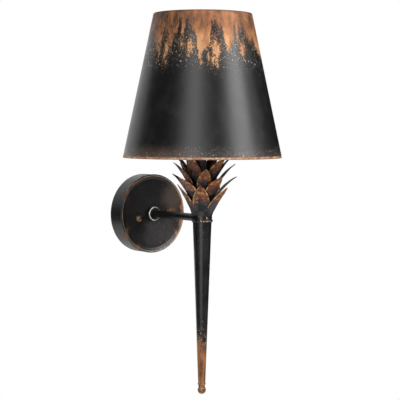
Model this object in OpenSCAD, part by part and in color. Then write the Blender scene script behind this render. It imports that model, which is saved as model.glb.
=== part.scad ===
// Torch sconce: a wall light with a round wall plate, a straight arm, a tapered
// torch stem crowned with five tiers of metal leaves, and a tapered metal shade.
// Origin: centre of the wall plate, on the wall. The wall is the plane y = 0,
// the room is towards -Y and up is +Z. All sizes are in millimetres.

/* [Layout] */
// Distance of the torch axis from the wall
reach = 158; // [145:1:190]
// Angle by which the line through the two knobs leans from the level, right one up
knob_tilt = 7; // [0:1:20]
// Distance by which the line through the two knobs passes below the arm's axis
knob_drop = 3.4; // [0:0.1:4]

/* [Wall bracket] */
// Length of the bracket strap from end to end
bracket_len = 116; // [112:1:122]
// Width of the bracket strap
bracket_w = 22; // [18:1:26]
// Thickness of the bracket plate
bracket_t = 2.5; // [2:0.1:3]
// Width of the upright tongue of the bracket
tongue_w = 26; // [22:1:32]
// Length of the tongue below the centre
tongue_down = 25; // [23:1:30]
// Radius of the hole for the supply cable
cable_hole_r = 6; // [5:0.5:7]
// Diameter of the circle through the two wall screw holes
wall_screw_pcd = 100; // [92:1:102]
// Radius of a wall screw hole
wall_screw_r = 2.5; // [2:0.1:3]

/* [Studs and knobs] */
// Radius of a threaded stud
stud_r = 2; // [1.5:0.1:2.5]
// Distance of a stud from the centre
stud_offset = 30; // [28:0.5:38]
// Radius of a stud's flat head
stud_head_r = 3.5; // [3:0.1:4.5]
// Thickness of a stud's flat head
stud_head_h = 1; // [0.8:0.1:1.5]
// Height of the lock nut on a stud
stud_nut_h = 3.2; // [2.5:0.1:4]
// Corner radius of the lock nut on a stud
stud_nut_r = 4.04; // [3.6:0.01:5]
// Radius of a knob
knob_r = 6; // [5:0.25:8]
// Height of a knob's straight side
knob_side_h = 4.2; // [3.5:0.1:6]
// Height of a knob's domed front
knob_dome_h = 3; // [2:0.1:4]
// Number of flutes around a knob
knob_flutes = 18; // [12:1:24]
// Depth of the threaded hole in a knob
knob_thread_depth = 5.5; // [4:0.1:6]

/* [Wall plate] */
// Outer radius of the wall plate
plate_r = 65; // [63:1:72]
// Depth of the wall plate from the wall to its rim
plate_depth = 31; // [29:1:36]
// Thickness of the wall plate's sheet
plate_t = 1.2; // [1:0.1:1.6]
// Radius of the bead rolled along the wall plate's rim
plate_bead_r = 1.7; // [1.2:0.1:2.2]
// Depth of the recessed face behind the rim
face_recess = 3; // [2:0.25:4]
// Width of the slope between the rim and the recessed face
face_slope = 6; // [4:0.5:9]

/* [Arm] */
// Outer radius of the arm tube
arm_r = 6; // [5.6:0.1:7]
// Radius of the passage for the wires in the arm and in the lamp tube
bore_r = 4; // [3.9:0.05:4.2]
// Radius of the lamp thread on the arm's ends and on the lamp tube
thread_r = 5; // [4.9:0.05:5.2]
// Length of the arm's thread inside the wall plate, past the face
arm_tail = 11; // [9:0.5:12]
// Depth to which the arm's full width sinks into the cup
arm_seat = 4; // [3:0.25:5]
// Length of the arm's thread in the cup
arm_thread_len = 5; // [4:0.25:5.5]
// Radius of the worn ring at the arm's root
root_ring_r = 11.5; // [9:0.25:13]
// Height of the ring at the arm's root
root_ring_h = 7.25; // [3:0.25:9]
// Radius of the washer behind the wall plate
washer_r = 10; // [9:0.25:13]
// Thickness of the washer behind the wall plate
washer_t = 1.2; // [1:0.1:2]
// Corner radius of a lamp thread nut
nut_r = 8.1; // [7.5:0.1:9]
// Height of a lamp thread nut
nut_h = 4; // [3:0.25:5]

/* [Stem] */
// Radius of the stem at its top
stem_top_r = 14.8; // [13.5:0.1:15.5]
// Radius of the stem at its lower end
stem_end_r = 5.7; // [5.2:0.1:7]
// Length of the stem
stem_len = 256; // [200:1:300]
// Thickness of the stem's wall
stem_wall = 1.5; // [1.2:0.1:1.8]
// Radius of the tie rod inside the stem
rod_r = 3; // [2.5:0.1:3.2]
// Radius of the ring between stem and finial
tip_ring_r = 6.5; // [6:0.1:8]
// Height of the ring between stem and finial
tip_ring_h = 2.6; // [2:0.1:4]
// Radius of the finial's ball
ball_r = 6.6; // [6:0.1:9]
// Radius of the finial's neck
finial_neck_r = 5.2; // [4.8:0.1:6]
// Length of the finial's neck down to the ball
finial_neck_h = 4; // [2:0.1:5]
// Depth of the threaded hole in the finial
finial_thread_depth = 8; // [5:0.5:9]

/* [Cup] */
// Radius of the cup's straight lower part
cup_r = 15.6; // [15:0.1:17]
// Radius that the cup gains from its straight part to its rim
cup_flare = 5.7; // [4:0.1:8]
// Height of the cup's rim above the arm's axis
cup_top = 19; // [17.5:0.25:22]
// Height at which the cup starts to flare
cup_flare_start = 5; // [3:0.5:8]
// Height of the cup's base below the arm's axis
cup_base = 6.5; // [6.2:0.1:8]
// Height of the cup's solid core above the arm's axis
cup_core = 12; // [11:0.25:13]
// Thickness of the cup's wall
cup_wall = 1.2; // [0.9:0.1:1.5]
// Radius of the bead around the cup's base
cup_bead_r = 1.4; // [1:0.1:2]
// Depth of the cup's spigot inside the stem
spigot_h = 11; // [8:0.5:16]
// Depth to which the lamp tube is screwed into the cup's core
tube_seat = 5.5; // [4.5:0.25:6]

/* [Leaves] */
// Number of leaves in a tier
leaves = 5; // [5:1:6]
// Turn of the first tier from the place where a leaf points midway between left and front
crown_turn = 2; // [-15:1:15]
// Height step from one tier's hub to the next
tier_step = 13; // [11:0.5:14]
// Widest half width of a leaf in the three lower tiers
leaf_half_w = 13; // [11:0.25:13.5]
// Widest half width of a leaf in the fourth tier
upper_half_w = 11.5; // [10:0.25:12.5]
// Widest half width of a leaf in the top tier
top_half_w = 8.5; // [7.5:0.25:9.5]
// Half width of a leaf where it leaves the hub
leaf_root_w = 4; // [3:0.25:5]
// Thickness of the leaf sheet
leaf_t = 0.9; // [0.7:0.05:1.1]
// Depth of a leaf's crease as a share of its half width
leaf_crease = 0.36; // [0.2:0.02:0.45]
// Distance from the axis to the flat sides of a tier's hub
hub_r = 10; // [9.5:0.25:11]
// Thickness of a tier's hub
hub_t = 1.6; // [1.4:0.1:2.4]
// Radius of a spacer between two tiers
spacer_r = 7; // [6.5:0.1:8]
// Distance from the axis to the leaf tips of the first, lowest tier
tip_r_1 = 43.5; // [38:0.5:48]
// Distance from the axis to the leaf tips of the second tier
tip_r_2 = 52; // [46:0.5:57]
// Distance from the axis to the leaf tips of the third tier
tip_r_3 = 53; // [47:0.5:58]
// Distance from the axis to the leaf tips of the fourth tier
tip_r_4 = 47; // [42:0.5:52]
// Distance from the axis to the leaf tips of the top tier
tip_r_5 = 36; // [33:0.5:40]
// Height of the leaf tips of the first, lowest tier
tip_z_1 = 52; // [48:0.5:56]
// Height of the leaf tips of the second tier
tip_z_2 = 69; // [64:0.5:74]
// Height of the leaf tips of the third tier
tip_z_3 = 86; // [80:0.5:90]
// Height of the leaf tips of the fourth tier
tip_z_4 = 102; // [96:0.5:106]
// Height of the leaf tips of the top tier
tip_z_5 = 112; // [108:0.5:118]

/* [Lampholder] */
// Height of the lampholder's lower end
holder_z = 116; // [114:1:122]
// Length of the threaded neck of the lampholder's cap
holder_neck_h = 8; // [7:0.5:10]
// Radius of the neck of the lampholder's cap
holder_neck_r = 8.5; // [8:0.25:10]
// Height of the lampholder's cap above its neck
holder_cap_h = 15; // [14.5:0.5:18]
// Outer radius of the lampholder
holder_r = 19.5; // [19:0.1:20]
// Height of the lampholder's sleeve
sleeve_h = 34; // [33:0.5:38]
// Wall thickness of the lampholder
holder_wall = 2; // [1.6:0.1:2.4]
// Height of the seat flange above the sleeve's lower end
seat_h = 10; // [9:0.5:12]
// Thickness of the seat flange
seat_t = 2; // [1.5:0.25:3]
// Radius of the seat flange
seat_r = 23; // [22:0.25:25]
// Thickness of the ceramic core
core_h = 10; // [8:0.5:12]
// Inner radius of the brass screw shell
shell_r = 13.4; // [13.3:0.05:13.6]
// Wall thickness of the brass screw shell
shell_t = 0.5; // [0.4:0.05:0.8]
// Distance of each lampholder terminal from the axis
terminal_x = 8; // [7.5:0.25:9]

/* [Bulb] */
// Radius of the bulb's glass
bulb_r = 30; // [24:1:32]
// Overall length of the bulb
bulb_len = 106; // [100:1:112]
// Radius of the bulb's screw cap
bulb_cap_r = 13.1; // [12.9:0.05:13.15]
// Length of the bulb's screw cap
bulb_cap_h = 24; // [22:0.5:26]
// Radius of the glass where it leaves the cap
bulb_neck_r = 14.5; // [14:0.25:16]
// Thickness of the bulb's glass
glass_t = 1; // [0.8:0.1:1.4]

/* [Shade] */
// Height of the shade's lower rim
shade_z = 95; // [88:1:100]
// Height of the shade
shade_h = 225; // [200:1:250]
// Outer radius of the shade's lower rim
shade_low_r = 125; // [110:1:140]
// Outer radius of the shade's upper rim
shade_top_r = 77; // [60:1:95]
// Thickness of the shade's sheet
shade_t = 1; // [0.8:0.1:1.4]
// Radius of the bead rolled along the lower rim
shade_bead_r = 1.5; // [1.2:0.1:2]
// Radius of the bead rolled along the upper rim
shade_top_bead_r = 1.1; // [1:0.1:1.6]
// Radius of the ring of the shade's carrier
carrier_r = 29; // [28:0.25:32]
// Thickness of the ring of the shade's carrier
carrier_t = 1.6; // [1.2:0.1:2.5]
// Radius of a spoke of the shade's carrier
spoke_r = 2; // [1.5:0.1:2.5]
// Number of spokes
spokes = 3; // [3:1:4]
// Half width of the foot at a spoke's end
foot_half_w = 7; // [5:0.5:9]
// Radius of the ring nut that clamps the shade
ring_nut_r = 24; // [22.5:0.25:25]
// Height of the ring nut that clamps the shade
ring_nut_h = 6; // [5:0.25:8]

/* [Wiring] */
// Radius of an insulated wire
wire_r = 1.1; // [0.9:0.05:1.15]
// Distance between neighbouring wires in the tubes
wire_pitch = 2.6; // [2.5:0.05:2.7]
// Bend radius of a wire at a right angle
wire_bend = 8; // [7:0.25:8.5]
// Bend radius of a wire where it steps aside
step_bend = 4; // [3:0.25:5]
// Angle of a wire where it steps aside
step_angle = 50; // [40:1:60]
// Half the distance between the two ways of the terminal block
way_x = 5.5; // [5:0.25:6.5]
// Height of the terminal block's lower end
block_z = 21; // [20:0.5:24]
// Height of the terminal block
block_h = 19; // [17:0.5:22]
// Width of the terminal block
block_w = 22; // [20:0.5:25]
// Depth of the terminal block
block_d = 13; // [12:0.5:15]
// Distance of the wire entries from the bracket
way_y = 6; // [5.5:0.25:6.5]
// Outer radius of a brass barrel in the terminal block
barrel_r = 2.6; // [2.4:0.1:3]
// Radius of a terminal screw
terminal_screw_r = 1.3; // [1.1:0.05:1.5]
// Distance of the earth screw below the centre
earth_z = 18; // [17:0.5:19]

/* [Clearances] */
// Radial clearance between a thread and its hole
fit = 0.05; // [0.02:0.01:0.1]
// Gap between pieces that turn against each other
turn_gap = 0.3; // [0.2:0.05:0.4]
// Radial clearance of a wire in a drilled hole
wire_gap = 0.2; // [0.1:0.05:0.3]

/* [Hidden] */
$fn = 64;

// Colours of the finishes
black_paint = [0.12, 0.12, 0.12];
worn_copper = [0.66, 0.42, 0.24];
aged_brass = [0.62, 0.46, 0.24];
bright_steel = [0.7, 0.7, 0.7];

// Small excess that lets a cut pass its wall
cut = 1;

// Wall plate, measured from the wall
face_h = plate_depth - face_recess;
face_back = face_h - plate_t;
bead_lip = 0.4;
side_r = plate_r - bead_lip;
bead_centre_r = plate_r - plate_bead_r;
bead_centre_h = plate_depth - plate_bead_r;

// Knobs, measured from the wall
knob_seat = face_h + turn_gap;
stud_tip_gap = 0.5;
stud_end = knob_seat + knob_thread_depth - stud_tip_gap;
knob_edge = 0.8;
dome_r = (pow(knob_r - knob_edge, 2) + pow(knob_dome_h, 2)) / (2 * knob_dome_h);

// Stations along the arm, measured from the wall
arm_start = face_h - arm_tail;
arm_shoulder = reach - cup_r + arm_seat;
arm_end = arm_shoulder + arm_thread_len;
washer_back = face_back - washer_t;

// Room left at the end of a threaded hole
end_gap = 1;

// Levels of the stem, going down from the cup's base
stem_z = -cup_base - stem_len;
stem_plug_h = 12;
stem_bore_top_r = stem_top_r - stem_wall;
stem_slope = (stem_top_r - stem_end_r) / stem_len;
ring_z = stem_z - tip_ring_h;
ball_z = ring_z - turn_gap - finial_neck_h - sqrt(ball_r * ball_r - finial_neck_r * finial_neck_r);
finial_hole_end = ring_z - turn_gap - finial_thread_depth;
rod_end = finial_hole_end + end_gap;
spigot_r = stem_bore_top_r - stem_slope * spigot_h - fit;
spigot_z = -cup_base - spigot_h;
rod_top = -cup_base - end_gap;

// Levels of the leaf stack
tube_z = cup_core - tube_seat;
stack_top = cup_core + 4 * tier_step + hub_t;
spacer_h = tier_step - hub_t;
tube_top = holder_z + holder_neck_h - end_gap;

// Levels of the lampholder
cap_floor = holder_z + holder_neck_h;
sleeve_z = cap_floor + holder_cap_h;
sleeve_top = sleeve_z + sleeve_h;
seat_z = sleeve_z + seat_h;
seat_top = seat_z + seat_t;
core_gap = 0.1;
core_r = shell_r + shell_t;
sleeve_bore_r = core_r + core_gap;
core_top = sleeve_z + core_h;
contact_r = 3.5;
contact_h = 1.2;
shell_drop = 3;
bulb_z = core_top + contact_h + turn_gap;
bulb_top = bulb_z + bulb_len;
bulb_button_h = 1.6;
glass_z = bulb_z + bulb_button_h + bulb_cap_h;
bulb_centre = bulb_top - bulb_r;
terminal_h = 7;
terminal_w = 6;
terminal_z = sleeve_z - terminal_h;
earth_lug_rise = 7.5;
earth_lug_z = cap_floor + earth_lug_rise;

// Levels of the shade and its carrier
carrier_z = seat_top + turn_gap;
carrier_top = carrier_z + carrier_t;
carrier_hole_r = holder_r + 2 * turn_gap;
ring_nut_z = carrier_top + turn_gap;
spoke_lift = 0.2;
spoke_z = carrier_z + spoke_r + spoke_lift;
shade_slope = (shade_low_r - shade_top_r) / shade_h;
foot_t = 1;
foot_gap = 0.05;

// Bracket and terminal block
tongue_margin = 3;
tongue_up = block_z + block_h + tongue_margin;
barrel_margin = 1.5;
screw_levels = [0.25, 0.75];
screw_lip = 0.5;
screw_head_h = 1.6;
screw_len = 3.2;
screw_tip_gap = 0.1;
block_screw_head_r = 2.4;
block_screw_sink = 3;

// Wires
way_out = bracket_t + way_y;
tag_t = 0.8;
tag_ring_r = 3.8;
tag_w = 2.8;
tag_len = 9;
tag_gap = 0.1;
earth_out = bracket_t + tag_t + wire_r + tag_gap;
earth_tail_gap = 0.4;
way_step = way_x - wire_pitch;
way_angle = 30;
end_step = terminal_x - wire_pitch;
bare_len = 5;
terminal_screw_z = 3.5;
neck_len = 1;
terminal_lead = 0.3;
lug_d = 5;
lug_w = 6;

// Outer radius of the shade at height z
function shade_r(z) = shade_low_r - (z - shade_z) * shade_slope;

// How late the cup's flare sets in
flare_power = 1.5;

// Outer radius of the cup at height z
function cup_outer(z) =
  cup_r + cup_flare * pow(max(0, (z - cup_flare_start) / (cup_top - cup_flare_start)), flare_power);

// Turns +Z towards the room, so that heights are distances from the wall
module from_wall() {
  rotate([90, 0, 0])
    children();
}

// Moves to the torch axis
module at_torch() {
  translate([0, -reach, 0])
    children();
}

// Turns the two-knob line to its lean, in the wall's own coordinates
module leaning() {
  rotate([0, 0, knob_tilt])
    children();
}

// Both places of a stud, in the wall's own coordinates
module at_studs() {
  leaning()
    for (side = [-1, 1])
      translate([side * stud_offset, -knob_drop, 0])
        children();
}

// A tube standing on z = low
module tube(outer, inner, low, high) {
  translate([0, 0, low])
    difference() {
      cylinder(r = outer, h = high - low);
      translate([0, 0, -cut])
        cylinder(r = inner, h = high - low + 2 * cut);
    }
}

// A hexagonal nut standing on z = low
module hex_nut(corner, hole, low, height) {
  translate([0, 0, low])
    difference() {
      cylinder(r = corner, h = height, $fn = 6);
      translate([0, 0, -cut])
        cylinder(r = hole, h = height + 2 * cut);
    }
}

// A slotted screw head with its shank below
module slotted_screw(head_r, head_h, shank_r, shank_h) {
  slot_w = head_r * 0.3;
  difference() {
    union() {
      cylinder(r = head_r, h = head_h);
      translate([0, 0, -shank_h])
        cylinder(r = shank_r, h = shank_h + head_h / 2);
    }
    translate([-slot_w / 2, -head_r - cut, head_h * 0.55])
      cube([slot_w, 2 * head_r + 2 * cut, head_h]);
  }
}

// ---- Wall side ----

module wall_bracket() {
  strap_end = (bracket_len - bracket_w) / 2;
  color(bright_steel)
    from_wall()
      difference() {
        union() {
          leaning() {
            translate([-strap_end, -bracket_w / 2, 0])
              cube([2 * strap_end, bracket_w, bracket_t]);
            for (side = [-1, 1])
              translate([side * strap_end, 0, 0])
                cylinder(d = bracket_w, h = bracket_t);
          }
          translate([-tongue_w / 2, -tongue_down, 0])
            cube([tongue_w, tongue_down + tongue_up, bracket_t]);
        }
        translate([0, 0, -cut])
          cylinder(r = cable_hole_r, h = bracket_t + 2 * cut);
        leaning()
          for (side = [-1, 1])
            translate([side * wall_screw_pcd / 2, 0, -cut])
              cylinder(r = wall_screw_r, h = bracket_t + 2 * cut);
        at_studs() {
          translate([0, 0, -cut])
            cylinder(r = stud_r + fit, h = bracket_t + 2 * cut);
          translate([0, 0, -cut])
            cylinder(r = stud_head_r + fit, h = stud_head_h + cut);
        }
        translate([0, -earth_z, -cut])
          cylinder(r = stud_r + fit, h = bracket_t + 2 * cut);
        translate([0, block_z + block_h / 2, -cut])
          cylinder(r = terminal_screw_r + fit, h = bracket_t + 2 * cut);
      }
}

module bracket_studs() {
  color(bright_steel)
    from_wall()
      at_studs() {
        cylinder(r = stud_head_r, h = stud_head_h);
        cylinder(r = stud_r, h = stud_end);
      }
}

module stud_nuts() {
  color(bright_steel)
    from_wall()
      at_studs()
        hex_nut(stud_nut_r, stud_r + fit, bracket_t, stud_nut_h);
}

module wall_plate() {
  color(black_paint)
    from_wall()
      difference() {
        rotate_extrude($fn = 128) {
          translate([bead_centre_r, bead_centre_h])
            circle(r = plate_bead_r, $fn = 32);
          polygon([
            [side_r, 0],
            [side_r, bead_centre_h],
            [bead_centre_r, plate_depth - plate_bead_r / 4],
            [bead_centre_r - face_slope, face_h],
            [thread_r + fit, face_h],
            [thread_r + fit, face_back],
            [bead_centre_r - face_slope, face_back],
            [side_r - plate_t, bead_centre_h - plate_t / 2],
            [side_r - plate_t, 0]
          ]);
        }
        at_studs()
          translate([0, 0, face_back - cut])
            cylinder(r = stud_r + turn_gap, h = plate_t + 2 * cut);
      }
}

module knob() {
  flute_r = 0.55;
  flute_out = 0.15;
  difference() {
    translate([0, 0, knob_seat])
      rotate_extrude()
        intersection() {
          union() {
            square([knob_r, knob_side_h]);
            translate([0, knob_side_h])
              square([knob_r - knob_edge, knob_dome_h]);
          }
          translate([0, knob_side_h + knob_dome_h - dome_r])
            circle(r = dome_r, $fn = 96);
        }
    translate([0, 0, knob_seat - cut])
      cylinder(r = stud_r + fit, h = knob_thread_depth + cut);
    for (i = [0:knob_flutes - 1])
      rotate([0, 0, i * 360 / knob_flutes])
        translate([knob_r + flute_out, 0, knob_seat + knob_edge])
          cylinder(r = flute_r, h = knob_side_h + knob_dome_h, $fn = 24);
  }
}

module left_knob() {
  color(aged_brass)
    from_wall()
      leaning()
        translate([-stud_offset, -knob_drop, 0])
          knob();
}

module right_knob() {
  color(aged_brass)
    from_wall()
      leaning()
        translate([stud_offset, -knob_drop, 0])
          knob();
}

module terminal_block() {
  block_out = bracket_t + block_d;
  color("ivory")
    from_wall()
      difference() {
        translate([-block_w / 2, block_z, bracket_t])
          cube([block_w, block_h, block_d]);
        for (side = [-1, 1])
          translate([side * way_x, block_z - cut, way_out])
            rotate([-90, 0, 0])
              cylinder(r = barrel_r + fit, h = block_h + 2 * cut);
        for (side = [-1, 1], level = screw_levels)
          translate([side * way_x, block_z + block_h * level, way_out])
            cylinder(r = terminal_screw_r + screw_lip + wire_gap, h = block_out);
        translate([0, block_z + block_h / 2, bracket_t - cut])
          cylinder(r = terminal_screw_r + wire_gap, h = block_d + 2 * cut);
        translate([0, block_z + block_h / 2, block_out - block_screw_sink])
          cylinder(r = block_screw_head_r + wire_gap, h = block_d);
      }
}

module terminal_barrels() {
  color("gold")
    from_wall()
      for (side = [-1, 1])
        translate([side * way_x, block_z + barrel_margin, way_out])
          difference() {
            rotate([-90, 0, 0])
              difference() {
                cylinder(r = barrel_r, h = block_h - 2 * barrel_margin);
                translate([0, 0, -cut])
                  cylinder(r = wire_r + wire_gap, h = block_h);
              }
            for (level = screw_levels)
              translate([0, block_h * level - barrel_margin, 0])
                cylinder(r = terminal_screw_r + fit, h = barrel_r + cut);
          }
}

module terminal_screws() {
  screw_seat = way_out + wire_r + wire_gap;
  color(bright_steel)
    from_wall()
      for (side = [-1, 1], level = screw_levels)
        translate([side * way_x, block_z + block_h * level, screw_seat + screw_len])
          slotted_screw(
            terminal_screw_r + screw_lip,
            screw_head_h,
            terminal_screw_r,
            screw_len - screw_tip_gap
          );
}

module block_screw() {
  screw_out = bracket_t + block_d - block_screw_sink;
  color(bright_steel)
    from_wall()
      translate([0, block_z + block_h / 2, screw_out])
        slotted_screw(block_screw_head_r, screw_head_h, terminal_screw_r, screw_out);
}

module earth_screw() {
  head_r = 3.6;
  head_h = 2.2;
  color(aged_brass)
    from_wall()
      translate([0, -earth_z, bracket_t + tag_t])
        slotted_screw(head_r, head_h, stud_r, bracket_t + tag_t);
}

module earth_tag() {
  color("silver")
    from_wall()
      translate([0, -earth_z, bracket_t])
        difference() {
          union() {
            cylinder(r = tag_ring_r, h = tag_t);
            translate([-tag_w / 2, 0, 0])
              cube([tag_w, tag_len, tag_t]);
          }
          translate([0, 0, -cut])
            cylinder(r = stud_r + fit, h = tag_t + 2 * cut);
        }
}

// ---- Arm ----

module arm_tube() {
  color(black_paint)
    from_wall()
      difference() {
        union() {
          translate([0, 0, arm_start])
            cylinder(r = thread_r, h = arm_end - arm_start);
          translate([0, 0, face_h])
            cylinder(r = arm_r, h = arm_shoulder - face_h);
        }
        translate([0, 0, arm_start - cut])
          cylinder(r = bore_r, h = arm_end - arm_start + 2 * cut);
      }
}

module root_ring() {
  edge = 1.1;
  hole = arm_r + fit;
  color("dimgray")
    from_wall()
      translate([0, 0, face_h])
        rotate_extrude()
          polygon([
            [hole, 0],
            [root_ring_r, 0],
            [root_ring_r, root_ring_h - edge],
            [root_ring_r - edge, root_ring_h],
            [hole, root_ring_h]
          ]);
}

module arm_washer() {
  color(bright_steel)
    from_wall()
      tube(washer_r, thread_r + fit, washer_back, face_back);
}

module arm_nut() {
  color(bright_steel)
    from_wall()
      hex_nut(nut_r, thread_r + fit, washer_back - nut_h, nut_h);
}

// ---- Torch ----

cup_steps = 8;
cup_bead_z = cup_bead_r + 1 - cup_base;

module cup_profile() {
  outer = [
    for (i = [0:cup_steps])
      let (z = cup_flare_start + (cup_top - cup_flare_start) * i / cup_steps)
        [cup_outer(z), z]
  ];
  inner = [
    for (i = [cup_steps:-1:0])
      let (z = cup_core + (cup_top - cup_core) * i / cup_steps)
        [cup_outer(z) - cup_wall, z]
  ];
  polygon(concat([[0, -cup_base], [cup_r, -cup_base]], outer, inner, [[0, cup_core]]));
}

module leaf_cup() {
  color(black_paint)
    at_torch()
      difference() {
        union() {
          rotate_extrude($fn = 96) {
            cup_profile();
            translate([cup_r, cup_bead_z])
              circle(r = cup_bead_r, $fn = 24);
          }
          translate([0, 0, spigot_z])
            cylinder(r = spigot_r, h = spigot_h + cut);
        }
        cylinder(r = thread_r + fit, h = cup_core + cut);
        rotate([-90, 0, 0]) {
          cylinder(r = thread_r + fit, h = 2 * cup_r);
          translate([0, 0, reach - arm_shoulder])
            cylinder(r = arm_r + fit, h = 2 * cup_r);
        }
        translate([0, 0, spigot_z - cut])
          cylinder(r = rod_r + fit, h = rod_top - spigot_z + cut);
      }
}

module stem() {
  color(black_paint)
    at_torch()
      translate([0, 0, stem_z])
        rotate_extrude($fn = 96)
          polygon([
            [rod_r + fit, 0],
            [stem_end_r, 0],
            [stem_top_r, stem_len],
            [stem_bore_top_r, stem_len],
            [stem_end_r - stem_wall + stem_slope * stem_plug_h, stem_plug_h],
            [rod_r + fit, stem_plug_h]
          ]);
}

module tie_rod() {
  color(bright_steel)
    at_torch()
      translate([0, 0, rod_end])
        cylinder(r = rod_r, h = rod_top - rod_end);
}

module tip_ring() {
  edge = 0.7;
  color(worn_copper)
    at_torch()
      translate([0, 0, ring_z])
        rotate_extrude()
          polygon([
            [rod_r + fit, 0],
            [tip_ring_r - edge, 0],
            [tip_ring_r, edge],
            [tip_ring_r, tip_ring_h - edge],
            [tip_ring_r - edge, tip_ring_h],
            [rod_r + fit, tip_ring_h]
          ]);
}

module finial() {
  color(worn_copper)
    at_torch()
      difference() {
        rotate_extrude() {
          intersection() {
            translate([0, ball_z])
              circle(r = ball_r);
            translate([0, ball_z - 2 * ball_r])
              square([2 * ball_r, 4 * ball_r]);
          }
          translate([0, ball_z])
            square([finial_neck_r, ring_z - turn_gap - ball_z]);
        }
        translate([0, 0, finial_hole_end])
          cylinder(r = rod_r + fit, h = finial_thread_depth + 2 * cut);
      }
}

// ---- Leaves ----

leaf_rows = 12;
leaf_columns = 3;
leaf_tip_w = 0.25;
// Share of a leaf's length at which it is widest
leaf_wide_at = 0.5;
// Shares of a leaf's length between which its crease deepens
fold_start = 0.1;
fold_end = 0.38;
// How sharply a leaf's crease bends and how late its sides close to the tip
crease_power = 1.4;
tip_power = 1.9;
// Level length of a midrib at the hub, and shares of its spread and rise at its bends
leaf_root_len = 2;
low_bend_out = 0.22;
high_bend_out = 0.48;
high_bend_up = 0.64;
// Direction midway between left and front
leaf_aim = -135;

tip_r = [tip_r_1, tip_r_2, tip_r_3, tip_r_4, tip_r_5];
tip_z = [tip_z_1, tip_z_2, tip_z_3, tip_z_4, tip_z_5];
half_w = [leaf_half_w, leaf_half_w, leaf_half_w, upper_half_w, top_half_w];

// Point at share t along the curve with four control points
function curve(p, t) =
  pow(1 - t, 3) * p[0] + 3 * t * pow(1 - t, 2) * p[1] + 3 * t * t * (1 - t) * p[2] + pow(t, 3) * p[3];

// Direction of that curve at share t
function curve_dir(p, t) =
  let (d = pow(1 - t, 2) * (p[1] - p[0]) + 2 * t * (1 - t) * (p[2] - p[1]) + t * t * (p[3] - p[2]))
    d / norm(d);

function smooth_step(u) = u * u * (3 - 2 * u);

// Half width of a leaf at share t of its length
function leaf_w(t, widest) =
  t < leaf_wide_at
  ? leaf_root_w + (widest - leaf_root_w) * smooth_step(t / leaf_wide_at)
  : leaf_tip_w + (widest - leaf_tip_w) * (1 - pow((t - leaf_wide_at) / (1 - leaf_wide_at), tip_power));

// Height of a tier's hub
function tier_z(tier) = cup_core + tier * tier_step;

// Control points of a tier's midrib, as radius and height
function leaf_path(tier) =
  let (
    low = tier_z(tier) + hub_t / 2,
    rise = tip_z[tier] - low,
    spread = tip_r[tier] - hub_r
  )
    [
      [hub_r + fit, low],
      [hub_r + leaf_root_len + low_bend_out * spread, low],
      [hub_r + high_bend_out * spread, low + high_bend_up * rise],
      [tip_r[tier], tip_z[tier]]
    ];

// Point of a leaf's sheet: share t along it, share v across it, side 0 outer or 1 inner
function leaf_point(path, widest, t, v, side) =
  let (
    c = curve(path, t),
    d = curve_dir(path, t),
    n = [-d[1], d[0]],
    w = leaf_w(t, widest),
    fold = smooth_step(max(0, min(1, (t - fold_start) / (fold_end - fold_start)))),
    lift = leaf_crease * w * fold * pow(abs(v), crease_power) + (side - 0.5) * leaf_t,
    p = c + n * lift
  )
    [p[0], v * w, p[1]];

module leaf(tier) {
  path = leaf_path(tier);
  across = 2 * leaf_columns + 1;
  points = [
    for (side = [0, 1], i = [0:leaf_rows], j = [0:across - 1])
      leaf_point(path, half_w[tier], i / leaf_rows, (j - leaf_columns) / leaf_columns, side)
  ];
  function at(side, i, j) = (side * (leaf_rows + 1) + i) * across + j;
  sheets = [
    for (side = [0, 1], i = [0:leaf_rows - 1], j = [0:across - 2])
      let (a = at(side, i, j), b = at(side, i, j + 1), c = at(side, i + 1, j + 1), d = at(side, i + 1, j))
        each side == 1 ? [[a, b, c], [a, c, d]] : [[a, c, b], [a, d, c]]
  ];
  edges = [
    for (i = [0:leaf_rows - 1], end = [0, 1])
      let (
        j = end * (across - 1),
        a = at(0, i, j), b = at(0, i + 1, j), c = at(1, i + 1, j), d = at(1, i, j)
      )
        each end == 1 ? [[a, b, c], [a, c, d]] : [[a, c, b], [a, d, c]]
  ];
  ends = [
    for (j = [0:across - 2], end = [0, 1])
      let (
        i = end * leaf_rows,
        a = at(0, i, j), b = at(0, i, j + 1), c = at(1, i, j + 1), d = at(1, i, j)
      )
        each end == 1 ? [[a, c, b], [a, d, c]] : [[a, b, c], [a, c, d]]
  ];
  polyhedron(points = points, faces = concat(sheets, edges, ends));
}

// A tier: a flat-sided hub with one leaf brazed to each side
module leaf_tier(tier) {
  pitch = 360 / leaves;
  color(worn_copper)
    at_torch()
      rotate([0, 0, leaf_aim + crown_turn + (tier % 2) * pitch / 2]) {
        translate([0, 0, tier_z(tier)])
          difference() {
            rotate([0, 0, pitch / 2])
              cylinder(r = hub_r / cos(pitch / 2), h = hub_t, $fn = leaves);
            translate([0, 0, -cut])
              cylinder(r = thread_r + fit, h = hub_t + 2 * cut);
          }
        for (i = [0:leaves - 1])
          rotate([0, 0, i * pitch])
            leaf(tier);
      }
}

module leaf_tier_1() {
  leaf_tier(0);
}

module leaf_tier_2() {
  leaf_tier(1);
}

module leaf_tier_3() {
  leaf_tier(2);
}

module leaf_tier_4() {
  leaf_tier(3);
}

module leaf_tier_5() {
  leaf_tier(4);
}

module leaf_spacers() {
  color(bright_steel)
    at_torch()
      for (tier = [0:3])
        tube(spacer_r, thread_r + fit, tier_z(tier) + hub_t, tier_z(tier) + hub_t + spacer_h);
}

module stack_nut() {
  color(bright_steel)
    at_torch()
      hex_nut(nut_r, thread_r + fit, stack_top, nut_h);
}

module lamp_tube() {
  color(bright_steel)
    at_torch()
      tube(thread_r, bore_r, tube_z, tube_top);
}

module holder_nut() {
  color(bright_steel)
    at_torch()
      hex_nut(nut_r, thread_r + fit, holder_z - nut_h, nut_h);
}

// ---- Lampholder ----

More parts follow.
